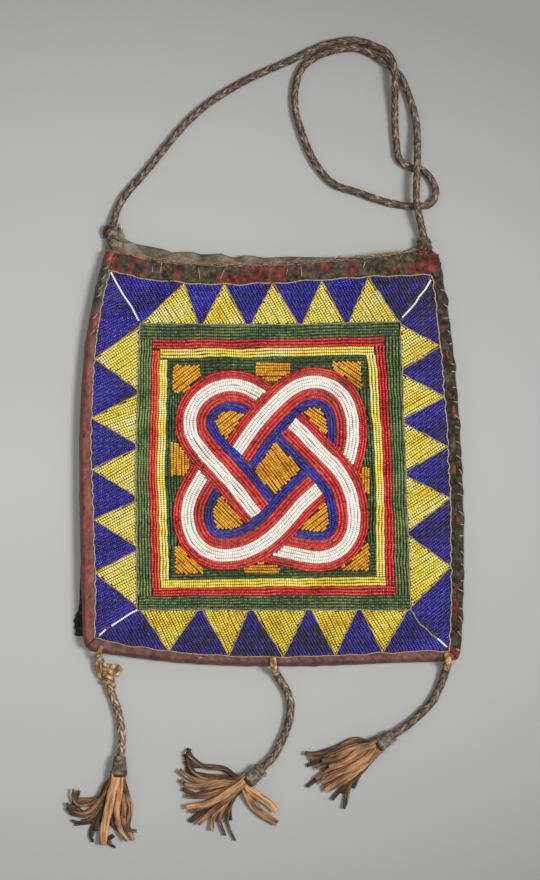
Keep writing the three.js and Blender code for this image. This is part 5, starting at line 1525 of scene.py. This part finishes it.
# %% [markdown]
# ## Finish of the bindings
# Every binding has scraps of red and of dark green felt let into it or worn through it. So one finish covers
# them all: a ground, leather or felt, two stored shares that bring in the red and the dark felt, and spots
# rubbed bare. Noise eats into the border of each scrap, as moths and wear do.

# %% Binding finish
RED_FELT = [(0.34, "#3C1613"), (0.5, "#86302A"), (0.7, "#BE4A40")]
WORN_RED_FELT = [(0.36, "#1E0C09"), (0.46, "#4E211B"), (0.55, "#732D26"), (0.66, "#B2413A")]
RUBBED_BARE = "#80694F"
DARK_FELT = [(0.34, "#17170F"), (0.52, "#38392C"), (0.72, "#70664C")]


def patched_strip(name, ground, red, mottle_size, nap_depth, roughness, rubbed_share):
    material, add, place = new_material(name, roughness, ior=1.45)
    mottle = add("TexNoise", {"Vector": place, "Scale": per_metre(mottle_size), "Detail": 8.0,
                              "Roughness": 0.66})
    nap = add("TexNoise", {"Vector": place, "Scale": per_metre(2.6), "Detail": 9.0, "Roughness": 0.72})
    eaten = add("TexNoise", {"Vector": place, "Scale": per_metre(4), "Detail": 5.0})
    blotch = add("TexNoise", {"Vector": place, "Scale": per_metre(7), "Detail": 7.0, "Roughness": 0.62})
    wear = add("TexNoise", {"Vector": place, "Scale": per_metre(6), "Detail": 7.0, "Roughness": 0.74})
    colour = add("ValToRGB", {"Fac": mottle}, stops=ground)
    for layer, stops in (("red", red), ("dark", DARK_FELT)):
        share = add("Attribute", attribute_name=layer, out="Fac")
        ragged = add("Math", {0: share, 1: eaten}, operation="ADD")
        cover = add("MapRange", {"Value": ragged, "From Min": 0.8, "From Max": 1.14})
        felt = add("ValToRGB", {"Fac": blotch}, stops=stops)
        colour = add("Mix", {"Factor": cover, 6: colour, 7: felt}, out=2, data_type="RGBA")
    rubbed = add("MapRange", {"Value": wear, "From Min": 0.42, "From Max": 0.68, "To Max": rubbed_share})
    colour = add("Mix", {"Factor": rubbed, 6: colour, 7: linear(RUBBED_BARE)}, out=2, data_type="RGBA")
    dress(material, colour, nap, nap_depth)
    return material


binding_leather = patched_strip("red_brown_goatskin", [(0.3, "#4A2420"), (0.5, "#7A4038"), (0.7, "#965A4C")],
                                RED_FELT, 9, 0.25, 0.55, 0.1)
foot_leather = patched_strip("brown_goatskin", [(0.3, "#3C1F1A"), (0.5, "#623A32"), (0.7, "#805547")],
                             RED_FELT, 9, 0.25, 0.55, 0.12)
dark_felt = patched_strip("dark_green_felt", [(0.36, "#0F0C08"), (0.49, "#2B251C"), (0.65, "#5E4E3B")],
                          RED_FELT, 4, 0.8, 0.95, 0.15)

# %% [markdown]
# ## Side and foot bindings
# The places of the patches are read from the photograph: rows of pixels on the sides, columns along the foot.
# At the foot's right corner both strips give way to red felt.

# %% Side and foot bindings
foot_share = np.linspace(0, 1, 160)
left_strip = Strip(side_stations(bag_left, face_left, MOUTH_LEFT), 1, SIDE_SPAN, 61, 0.6)
right_strip = Strip(side_stations(bag_right, face_right, MOUTH_RIGHT), 1, SIDE_SPAN, 62, 1.1)
foot_strip = Strip(stations(bag_foot(foot_share), face_foot(foot_share)), 0, FOOT_SPAN, 63, 0.5)
# Pixel along, place across, length and width in mm
LEFT_RED = [(257, 0.7, 16, 14), (315, 0.7, 9, 8), (331, 0.7, 18, 10), (391, 0.68, 22, 13), (427, 0.78, 22, 8),
            (455, 0.72, 12, 7), (483, 0.6, 9, 5), (524, 0.72, 18, 10), (565, 0.7, 9, 10), (619, 0.72, 14, 9)]
LEFT_DARK = [(286, 0.5, 46, 30), (330, 0.6, 5, 5), (355, 0.65, 5, 4), (390, 0.58, 15, 8), (421, 0.65, 6, 5),
             (435, 0.5, 6, 5), (463, 0.6, 6, 5), (507, 0.5, 6, 4), (598, 0.72, 6, 5)]
RIGHT_RED = [(262, 0.6, 14, 10), (355, 0.6, 7, 5), (412, 0.5, 12, 5), (470, 0.7, 9, 5), (520, 0.6, 7, 5),
             (590, 0.75, 11, 4), (607, 0.7, 14, 7), (660, 0.55, 16, 28)]
RIGHT_DARK = [(300, 0.7, 30, 9), (380, 0.65, 26, 8), (445, 0.7, 30, 8), (545, 0.7, 34, 8)]
FOOT_RED = [(198, 0.7, 11, 8), (244, 0.74, 13, 6), (286, 0.66, 7, 5), (315, 0.74, 9, 6), (377, 0.66, 10, 7),
            (401, 0.72, 13, 7), (422, 0.74, 8, 6), (436, 0.74, 10, 7), (461, 0.55, 18, 28)]
FOOT_DARK = [(90, 0.6, 8, 6), (440, 0.5, 10, 6)]

binding_piece("left_leather_binding", left_strip, binding_leather, "left_leather", "left_binding", LEFT_RED,
              LEFT_DARK)
binding_piece("right_felt_binding", right_strip, dark_felt, "right_felt", "right_binding", RIGHT_RED,
              RIGHT_DARK)
binding_piece("foot_leather_binding", foot_strip, foot_leather, "foot_leather", "foot_binding", FOOT_RED,
              FOOT_DARK)
print("patches:", len(LEFT_RED + RIGHT_RED + FOOT_RED), "red,",
      len(LEFT_DARK + RIGHT_DARK + FOOT_DARK), "dark")

# %% [markdown]
# ## Felt under the left edge
# Low on the left a layer of dark felt sticks out from under the binding, its edge torn. It is a thin sheet
# between the binding's outer line and a ragged line beside it.

# %% Felt under the left edge
UNDER_FROM, UNDER_TO, UNDER_STEPS = 631, 562, 90
# How far the felt sticks out in mm at shares of its length, and what of it each of its four lines has
UNDER_SHARE, UNDER_REACH = [0.0, 0.03, 0.24, 0.36, 0.5, 1.0], [4.0, 5.4, 6.2, 3.0, 1.6, 0.2]
UNDER_LINES, UNDER_TUCK = np.array([1.0, 0.66, 0.33, 0.0]), np.array([0.0, 0.5, 1.0, 2.0])
UNDER_TOP, UNDER_BOTTOM = 1.7, 0.3
under_t = np.linspace(place_on(left_strip, UNDER_FROM), place_on(left_strip, UNDER_TO), UNDER_STEPS)
under_line = left_strip.pair(under_t)[0]
torn = 1 + 0.16 * drift(*under_line.T, 9, seed=33) + 0.12 * drift(*under_line.T, 3.5, seed=34)
stick_out = np.interp(np.linspace(0, 1, UNDER_STEPS), UNDER_SHARE, UNDER_REACH) * torn
under_reach = stick_out[:, None] * UNDER_LINES - UNDER_TUCK
under_plan = under_line[:, None] + np.array(LEFTWARD) * under_reach[..., None]
under_top = UNDER_TOP + 0.4 * drift(under_plan[..., 0], under_plan[..., 1], 6, seed=35)
under_points = sheet(under_plan, under_top, np.full(under_top.shape, UNDER_BOTTOM))
under_faces = facing_out(under_points, sheet_faces(UNDER_STEPS, len(UNDER_LINES)))
new_piece("left_under_felt", under_points, under_faces, dark_felt, "right_felt")

# %% [markdown]
# ## Mouth binding
# The mouth is bound with scraps of red and dark green felt, pieced end to end and folded over into a hem
# inside the pocket. The seams are ragged, so each point stores how red it is, and noise in the finish eats
# into the border.

# %% Mouth binding
MOUTH_ROWS, MOUTH_HEM = 360, 7.0
MOUTH_FOLD = np.array([(1.2, 13.0), (0.4, 12.4), (0.0, 11.3), (0.0, 9.8), (0.4, 8.6), (1.2, 8.0)])
HEM_FOLD = np.array([(MOUTH_HEM, 8.0), (MOUTH_HEM, 9.2), (1.2, 9.2), (1.2, 11.8)])
MOUTH_UNDERSIDE, MOUTH_CROWN = 11.8, 0.25
# Columns of pixels from and to, and the shares of the width from and to, where 0 is at the mouth
RED_SCRAPS = [(102, 145, -1, 2), (173, 182, -1, 2), (215, 250, 0.45, 2), (238, 245, -1, 0.5),
              (251, 289, -1, 2), (320, 329, -1, 0.6), (345, 357, 0.4, 2), (392, 399, 0.6, 2),
              (405, 425, 0.5, 2), (422, 446, -1, 2)]
SEAM_PIXELS, SEAM_SHARE = 6, 0.35
DARK_SPOTS = [(124.7, 0.38, 5.6), (139.4, 0.62, 4.8)]


def mouth_profile(width):
    """Points of (in from the mouth, height) for one station: over the face, round the fold, along the hem."""
    share = np.linspace(1, 0.2, 9)
    over = np.column_stack([share * (width - BINDING_GAP), BINDING_TOP + MOUTH_CROWN * np.sin(np.pi * share)])
    return np.concatenate([over, MOUTH_FOLD, HEM_FOLD, [[width - BINDING_GAP, MOUTH_UNDERSIDE]]])


patchwork = patched_strip("patchwork_felt", [(0.36, "#17150F"), (0.5, "#3C382C"), (0.66, "#6E624C")],
                          WORN_RED_FELT, 4, 0.9, 0.95, 0.42)
mouth_share = np.linspace(-0.004, 0.998, MOUTH_ROWS)
mouth_outer, mouth_inner = mouth_edge(mouth_share), face_top(mouth_share)
mouth_width = np.linalg.norm(mouth_inner - mouth_outer, axis=1)
mouth_inward = (mouth_inner - mouth_outer) / mouth_width[:, None]
mouth_profiles = np.stack([mouth_profile(width) for width in mouth_width])
mouth_x, mouth_y = mouth_outer[:, :1], mouth_outer[:, 1:]
mouth_in = mouth_profiles[..., 0] + 0.5 * drift(*mouth_outer.T, 18, seed=71)[:, None]
mouth_bumps = (0.4 * drift(mouth_x + 3 * mouth_in, mouth_y - 2 * mouth_in, 8, seed=72)
               + 0.35 * drift(mouth_x, 0.3 * mouth_in, 4.5, seed=75))
mouth_heights = mouth_profiles[..., 1] + mouth_bumps * (mouth_profiles[..., 1] > 12)
mouth_points = np.concatenate([mouth_outer[:, None] + mouth_inward[:, None] * mouth_in[..., None],
                               mouth_heights[..., None]], axis=-1)
mouth_binding = new_piece("mouth_felt_binding", *closed(mouth_points), patchwork, "mouth_felt",
                          "mouth_binding")
mouth_px = mouth_points[..., 0] / PIXEL + PHOTO_ORIGIN[0]
mouth_down = mouth_profiles[..., 0] / mouth_width[:, None]
ragged_px = mouth_px + 3 * drift(mouth_px, 30 * mouth_down, 9, seed=73)
ragged_down = mouth_down + 0.12 * drift(mouth_px, 30 * mouth_down, 8, seed=74)
red_shares = [0.5 + np.min([(ragged_px - a) / SEAM_PIXELS, (b - ragged_px) / SEAM_PIXELS,
                            (ragged_down - c) / SEAM_SHARE, (d - ragged_down) / SEAM_SHARE], axis=0)
              for a, b, c, d in RED_SCRAPS]
dark_shares = [2 - 2 * np.hypot((mouth_px - px) * PIXEL, (mouth_down - down) * mouth_width[:, None]) / reach
               for px, down, reach in DARK_SPOTS]
paint(mouth_binding, "red", np.clip(np.max(red_shares, axis=0), 0, 1))
paint(mouth_binding, "dark", np.clip(np.max(dark_shares, axis=0), 0, 1))

# %% [markdown]
# ## Stitches
# Tan whip stitches hold the right binding down, and a few show at the top of the left one, in one slit of the
# foot and across the mouth. A stitch is a thread over the binding's own surface.

# %% Stitches
STITCH_POINTS, STITCH_RADIUS, STITCH_SIT, STITCH_ARCH = 9, 0.4, 0.1, 0.4
MOUTH_STITCH_POINTS, MOUTH_STITCH_RADIUS, MOUTH_STITCH_HEIGHT, MOUTH_STITCH_ARCH = 7, 0.36, 13.3, 0.6
RIGHT_STITCHES = np.arange(0.03, 0.93, 0.034)
LEFT_STITCHES = (0.98, 0.955, 0.93, 0.905, 0.885, 0.83, 0.79)
FOOT_STITCH, MOUTH_STITCHES = 199, (152, 160, 199, 222, 287, 301, 364)


def arch(points):
    """Half a sine wave: nothing at both ends, 1 in the middle."""
    return np.sin(np.linspace(0, np.pi, points))


def stitch(strip, t, slant, w_from, w_to):
    """A whip stitch: a thread over the binding from w_from to w_to, slanting along it by some millimetres."""
    along = t + slant / strip.span * np.linspace(-0.5, 0.5, STITCH_POINTS)
    path = binding_point(strip, along, np.linspace(w_from, w_to, STITCH_POINTS),
                         STITCH_SIT + STITCH_ARCH * arch(STITCH_POINTS))
    return round_tube(path, THREAD_SIDES, STITCH_RADIUS)


def mouth_stitch(px, slant):
    """A stitch across the mouth's felt at a column of pixels, slanting by some millimetres."""
    station = np.abs(mouth_px[:, 4] - px).argmin()
    down = np.linspace(chance.uniform(0.1, 0.35), chance.uniform(0.55, 0.85), MOUTH_STITCH_POINTS)[:, None]
    aside = [slant, 0] * np.linspace(-0.5, 0.5, MOUTH_STITCH_POINTS)[:, None]
    plan = mouth_outer[station] + mouth_inward[station] * (down * mouth_width[station]) + aside
    path = np.column_stack([plan, MOUTH_STITCH_HEIGHT + MOUTH_STITCH_ARCH * arch(MOUTH_STITCH_POINTS)])
    return round_tube(path, THREAD_SIDES, MOUTH_STITCH_RADIUS)


stitch_places = RIGHT_STITCHES + chance.normal(0, 0.005, len(RIGHT_STITCHES))
stitches = [stitch(right_strip, t, chance.uniform(-2.5, 2.5), 0.2, chance.uniform(0.42, 0.6))
            for t in stitch_places]
stitches += [stitch(left_strip, t, 4, 0.4, 0.7) for t in LEFT_STITCHES]
stitches += [stitch(foot_strip, place_on(foot_strip, FOOT_STITCH), 2.5, 0.6, 0.82)]
stitches += [mouth_stitch(px, chance.uniform(-3, 3)) for px in MOUTH_STITCHES]
new_piece("whip_stitches", *join(stitches), tan_thread, "thong_leather")
print("stitches:", len(stitches))

# %% [markdown]
# ## Frayed mouth edge
# Along the mouth the raw tan edge of the lining shows as a frayed ribbon between the grey leather and the
# felt. It is a flat oval carried along the fold in five torn lengths, with loose threads and short ends.

# %% Frayed mouth edge
FRAY_LENGTHS = [(0.03, 0.12), (0.14, 0.3), (0.33, 0.42), (0.47, 0.56), (0.8, 0.95)]
FRAY_THREADS, FRAY_ENDS = 3, 90
RIBBON_SIDES, RIBBON_OUT, RIBBON_HEIGHT, RIBBON_RISE = 8, 0.7, 12.2, 0.55
FIBRE_SIDES, FIBRE_RADIUS, FIBRE_HEIGHT = 5, 0.34, 12.9
END_POINTS, END_SIDES, END_HEIGHT, END_RADIUS = 8, 4, 12.6, 0.2
raw_edge = spun_thread("raw_tan_lining", "#5E4A36", "#B8987A")


def along_mouth(t_from, t_to, outward, height, seed):
    """A wavering line near the fold of the mouth, some millimetres outward from it and at some height."""
    x, y = mouth_edge(np.linspace(t_from, t_to, int(340 * (t_to - t_from)) + 8)).T
    return np.column_stack([x, y + outward + 0.6 * drift(x, 0 * x + 40 * seed, 10, seed),
                            height + 0.4 * drift(x, 0 * x - 30 * seed, 13, seed + 10)])


def fray_ribbon(t_from, t_to, seed):
    """A torn length of the raw edge: about two millimetres wide, thin, narrower at both ends."""
    path = along_mouth(t_from, t_to, RIBBON_OUT, RIBBON_HEIGHT, seed)
    taper = np.sin(np.linspace(0.06, np.pi - 0.06, len(path))) ** 0.4
    width = taper * (0.8 + 0.4 * drift(path[:, 0], 0 * path[:, 0], 6, seed + 20))
    profile = circle(RIBBON_SIDES)[None] * np.stack([width, RIBBON_RISE * taper], axis=-1)[:, None]
    return carry(path, profile), tube_faces(len(path), RIBBON_SIDES)


def fray_thread(k):
    """A long fibre that wanders along the fold; each next one is shorter and lies further in."""
    path = along_mouth(0.02 + 0.03 * k, 0.96 - 0.04 * k, 1.2 - 1.1 * k, FIBRE_HEIGHT, 80 + k)
    return round_tube(path, FIBRE_SIDES, FIBRE_RADIUS)


def loose_end(start, reach, bend, radius):
    """A short curled fibre: a straight reach with a bow."""
    s = np.linspace(0, 1, END_POINTS)[:, None]
    return round_tube(np.asarray(start) + reach * s + bend * np.sin(np.pi * s), END_SIDES, radius)


fray = [fray_ribbon(*ends, seed=60 + k) for k, ends in enumerate(FRAY_LENGTHS)]
fray += [fray_thread(k) for k in range(FRAY_THREADS)]
for place in chance.uniform(0, 1, FRAY_ENDS):
    fray_start = np.append(mouth_edge(place), END_HEIGHT) + chance.normal(0, 0.5, 3)
    fray.append(loose_end(fray_start, chance.normal([0, 0.1, 0.3], [2.4, 1.1, 0.4]),
                          chance.normal([0, 0, 0.5], [0.8, 0.8, 0.01]), END_RADIUS))
new_piece("mouth_fray", *join(fray), raw_edge, "thong_leather")
print("frayed parts:", len(fray))

# %% [markdown]
# ## Ears of the strap
# At the left the strap is pulled through the ear and lashed with its own end into a lump of grey leather; at
# the right it goes into a small dark knob beside a scrap of red felt. The lumps are uneven balls drawn close
# together, with thongs wrapped over them and frayed fibres standing off.

# %% Ears of the strap
LUMP_RINGS, LUMP_SIDES, LUMP_OPENING = 13, 26, 0.05
left_ear_finish = stained_leather("grey_lashed_goatskin", ("#5A4E40", "#8A7A66", "#A89880"), 5, 0.9, 0.75)
right_ear_finish = stained_leather("dark_folded_goatskin", ("#2A2119", "#57493B", "#8A745C"), 5, 0.9, 0.7)
# Middle and half sizes in mm, and where its waves begin
LEFT_LUMPS = [((-117.4, 156.0, 4.6), (6.0, 6.6, 3.6), 0), ((-120.2, 161.6, 5.2), (4.0, 4.4, 3.8), 1),
              ((-114.6, 160.0, 4.6), (3.8, 4.2, 3.2), 2)]
RIGHT_LUMPS = [((113.0, 153.8, 6.2), (3.6, 4.0, 4.0), 7), ((116.4, 151.8, 6.0), (3.8, 4.4, 4.0), 8)]
LASHING_DIAMETER = 2.3
EAR_LASHINGS = [
    [[-124.4, 160.6, 3.4], [-123.8, 163.4, 7.6], [-119.6, 165.6, 9.6], [-115.8, 166, 7], [-114.6, 165, 3.6]],
    [[-125.4, 159, 3], [-126.4, 163, 3.4], [-124.4, 166.8, 5.6], [-121, 168, 7.4], [-117.6, 167, 5]],
    [[-123, 157, 6], [-119.4, 159.6, 9.9], [-115.4, 158.2, 9.6], [-112.6, 155.4, 6.4]],
    [[109.8, 155.4, 4.2], [111.4, 158, 8.2], [114.6, 158.6, 9.4], [117.6, 157.2, 7.4], [118.8, 155.4, 4.4]],
]
TOP_RIGHT_SCRAP = np.array([(113, 151.6), (118.6, 150.6), (123, 146), (127, 139.2), (125.6, 133.4),
                            (117, 132.8), (109, 134), (107.4, 140.4), (109, 146)])
SCRAP_HEIGHT, SCRAP_FOLD, SCRAP_FALL = 13.3, 146.0, 1.2
# Rings of the scrap from its rim to its middle: share of the outline and rise in mm
SCRAP_SHARES, SCRAP_RISES = [1.0, 1.0, 0.8, 0.55, 0.25, 0.04], [-1.0, 0, 0.2, 0.3, 0.35, 0.35]
WISP_STARTS = [(-122, 166, 5.5), (-118, 166.5, 6), (-115, 165, 5), (-124, 162, 4.5), (-113.5, 163, 4)]
WISPS_EACH, WISP_RADIUS = 4, 0.3


def lump(middle, half_sizes, seed):
    """An uneven ball: a sphere whose radius swells and dips with waves round it and up it."""
    rise = np.linspace(-np.pi / 2 + LUMP_OPENING, np.pi / 2 - LUMP_OPENING, LUMP_RINGS)[:, None]
    turn = turns(LUMP_SIDES)[None]
    swell = (1 + 0.09 * np.sin(3 * turn + 2 * rise + seed) + 0.07 * np.sin(5 * turn - 3 * rise + 2 * seed)
             + 0.04 * np.sin(9 * turn + 5 * rise))
    ball = np.stack([np.cos(rise) * np.cos(turn), np.cos(rise) * np.sin(turn), np.sin(rise) + 0 * turn],
                    axis=-1)
    points = np.array(middle) + ball * swell[..., None] * np.array(half_sizes)
    return closed(points)


def felt_scrap(outline, height, seed):
    """A scrap of felt over a corner: a closed lens of rings drawn in to the middle of its outline. Beyond the
    mouth's fold it hangs down towards the ear."""
    rim = smooth_path(np.concatenate([outline, outline[:1]]), 1.4)[:-1]
    rim = rim + np.random.default_rng(seed).normal(0, 0.25, rim.shape)
    middle = rim.mean(axis=0)
    plan = middle + (rim - middle)[None] * np.array(SCRAP_SHARES)[:, None, None]
    rise = (height + np.array(SCRAP_RISES)[:, None] + 0.45 * drift(plan[..., 0], plan[..., 1], 5, seed)
            - SCRAP_FALL * np.clip(plan[..., 1] - SCRAP_FOLD, 0, None))
    return closed(np.concatenate([plan, rise[..., None]], axis=-1))


new_piece("left_ear_lashing", *join([lump(*settings) for settings in LEFT_LUMPS]), left_ear_finish,
          "tab_leather", "left_strap_tab")
new_piece("right_ear_knob", *join([lump(*settings) for settings in RIGHT_LUMPS]), right_ear_finish,
          "tab_leather", "right_strap_tab")
new_piece("ear_thongs", *join([thong(route, LASHING_DIAMETER) for route in EAR_LASHINGS]), right_ear_finish,
          "tab_leather")
corner_scrap = new_piece("top_right_felt", *felt_scrap(TOP_RIGHT_SCRAP, SCRAP_HEIGHT, 7), patchwork,
                         "mouth_felt")
paint(corner_scrap, "red", np.ones(len(corner_scrap.data.vertices)))
wisps = [loose_end(start, chance.normal([0.5, 1.5, 0.3], [2, 1.5, 0.4]), chance.normal(0, [0.8, 0.8, 0.3]),
                   WISP_RADIUS) for start in WISP_STARTS * WISPS_EACH]
new_piece("ear_wisps", *join(wisps), left_ear_finish, "tab_leather")
print("ears made of", len(LEFT_LUMPS), "and", len(RIGHT_LUMPS), "lumps")

# %% [markdown]
# ## Table and light
# A museum's copy stand: grey paper with a painted pool of light, brightest at the left and darker towards
# the corners, one large lamp far to the right, a smaller one overhead that puts a glint on every bead, and an
# even glow from the room. Their shares add up to about plain white on the table, so that every colour comes
# out as written.

# %% Table and light
# Lengths here are in metres
FLOOR_HALF, FLOOR_HEIGHT = 15.0, -0.0002
PAINTED_LIGHT_MIDDLE, PAINTED_LIGHT_REACH = (-0.2, -0.02), (0.95, 0.6)
LAMP_PLACE, LAMP_SIZE, LAMP_SHARE = (2.35, 0.12, 3.5), 1.3, 0.62
GLINT_PLACE, GLINT_SIZE, GLINT_SHARE = (-0.35, 0.3, 2.6), 0.5, 0.14
ROOM_SHARE = 0.28

floor_mesh = bpy.data.meshes.new("grey_paper")
floor_corners = np.array([(-1, -1), (1, -1), (1, 1), (-1, 1)]) * FLOOR_HALF
floor_mesh.from_pydata([(x, y, FLOOR_HEIGHT) for x, y in floor_corners.tolist()], [], [(0, 1, 2, 3)])
floor = bpy.data.objects.new("grey_paper", floor_mesh)
bpy.context.collection.objects.link(floor)
paper, add, paper_place = new_material("grey_paper", roughness=1.0, ior=1.3)
# Painted light on the paper: a pool of light brightest near its middle, falling off towards the corners
painted_light_place = add("Mapping", {
    "Vector": paper_place, "Scale": (1 / PAINTED_LIGHT_REACH[0], 1 / PAINTED_LIGHT_REACH[1], 1.0),
    "Location": (-PAINTED_LIGHT_MIDDLE[0] / PAINTED_LIGHT_REACH[0], -PAINTED_LIGHT_MIDDLE[1] / PAINTED_LIGHT_REACH[1], 0.0)})
painted_light_falloff = add("TexGradient", {"Vector": painted_light_place}, out="Fac", gradient_type="SPHERICAL")
grey = add("ValToRGB", {"Fac": painted_light_falloff}, stops=[
    (0.32, "#969695"), (0.43, "#A5A5A3"), (0.53, "#B0B0AE"), (0.64, "#B8B8B5"), (0.8, "#BDBDBA"),
    (1.0, "#C4C4C0")])
surface_takes(paper, {"Base Color": grey})
floor_mesh.materials.append(paper)


def soft_lamp(name, place, size, share):
    """A round lamp aimed at the bag. A lamp of power P at a distance d, tilted by an angle a, lights the
    table with P cos(a) / (pi d)^2 of plain white, so its power follows from its share."""
    place = np.array(place)
    distance = np.linalg.norm(place)
    data = bpy.data.lights.new(name, "AREA")
    data.shape, data.size = "DISK", size
    data.energy = float(share * (np.pi * distance) ** 2 * distance / place[2])
    lamp = bpy.data.objects.new(name, data)
    lamp.location = place.tolist()
    lamp.rotation_euler = (0.0, float(np.arctan2(np.hypot(place[0], place[1]), place[2])),
                           float(np.arctan2(place[1], place[0])))
    bpy.context.collection.objects.link(lamp)


soft_lamp("key_lamp", LAMP_PLACE, LAMP_SIZE, LAMP_SHARE)
soft_lamp("glint_lamp", GLINT_PLACE, GLINT_SIZE, GLINT_SHARE)
world = bpy.data.worlds.new("even_room")
world.use_nodes = True
connect(world.node_tree, world.node_tree.nodes["Background"],
        {"Color": linear("#FFFFFF"), "Strength": ROOM_SHARE})
bpy.context.scene.world = world
bpy.context.scene.view_settings.view_transform = "Standard"
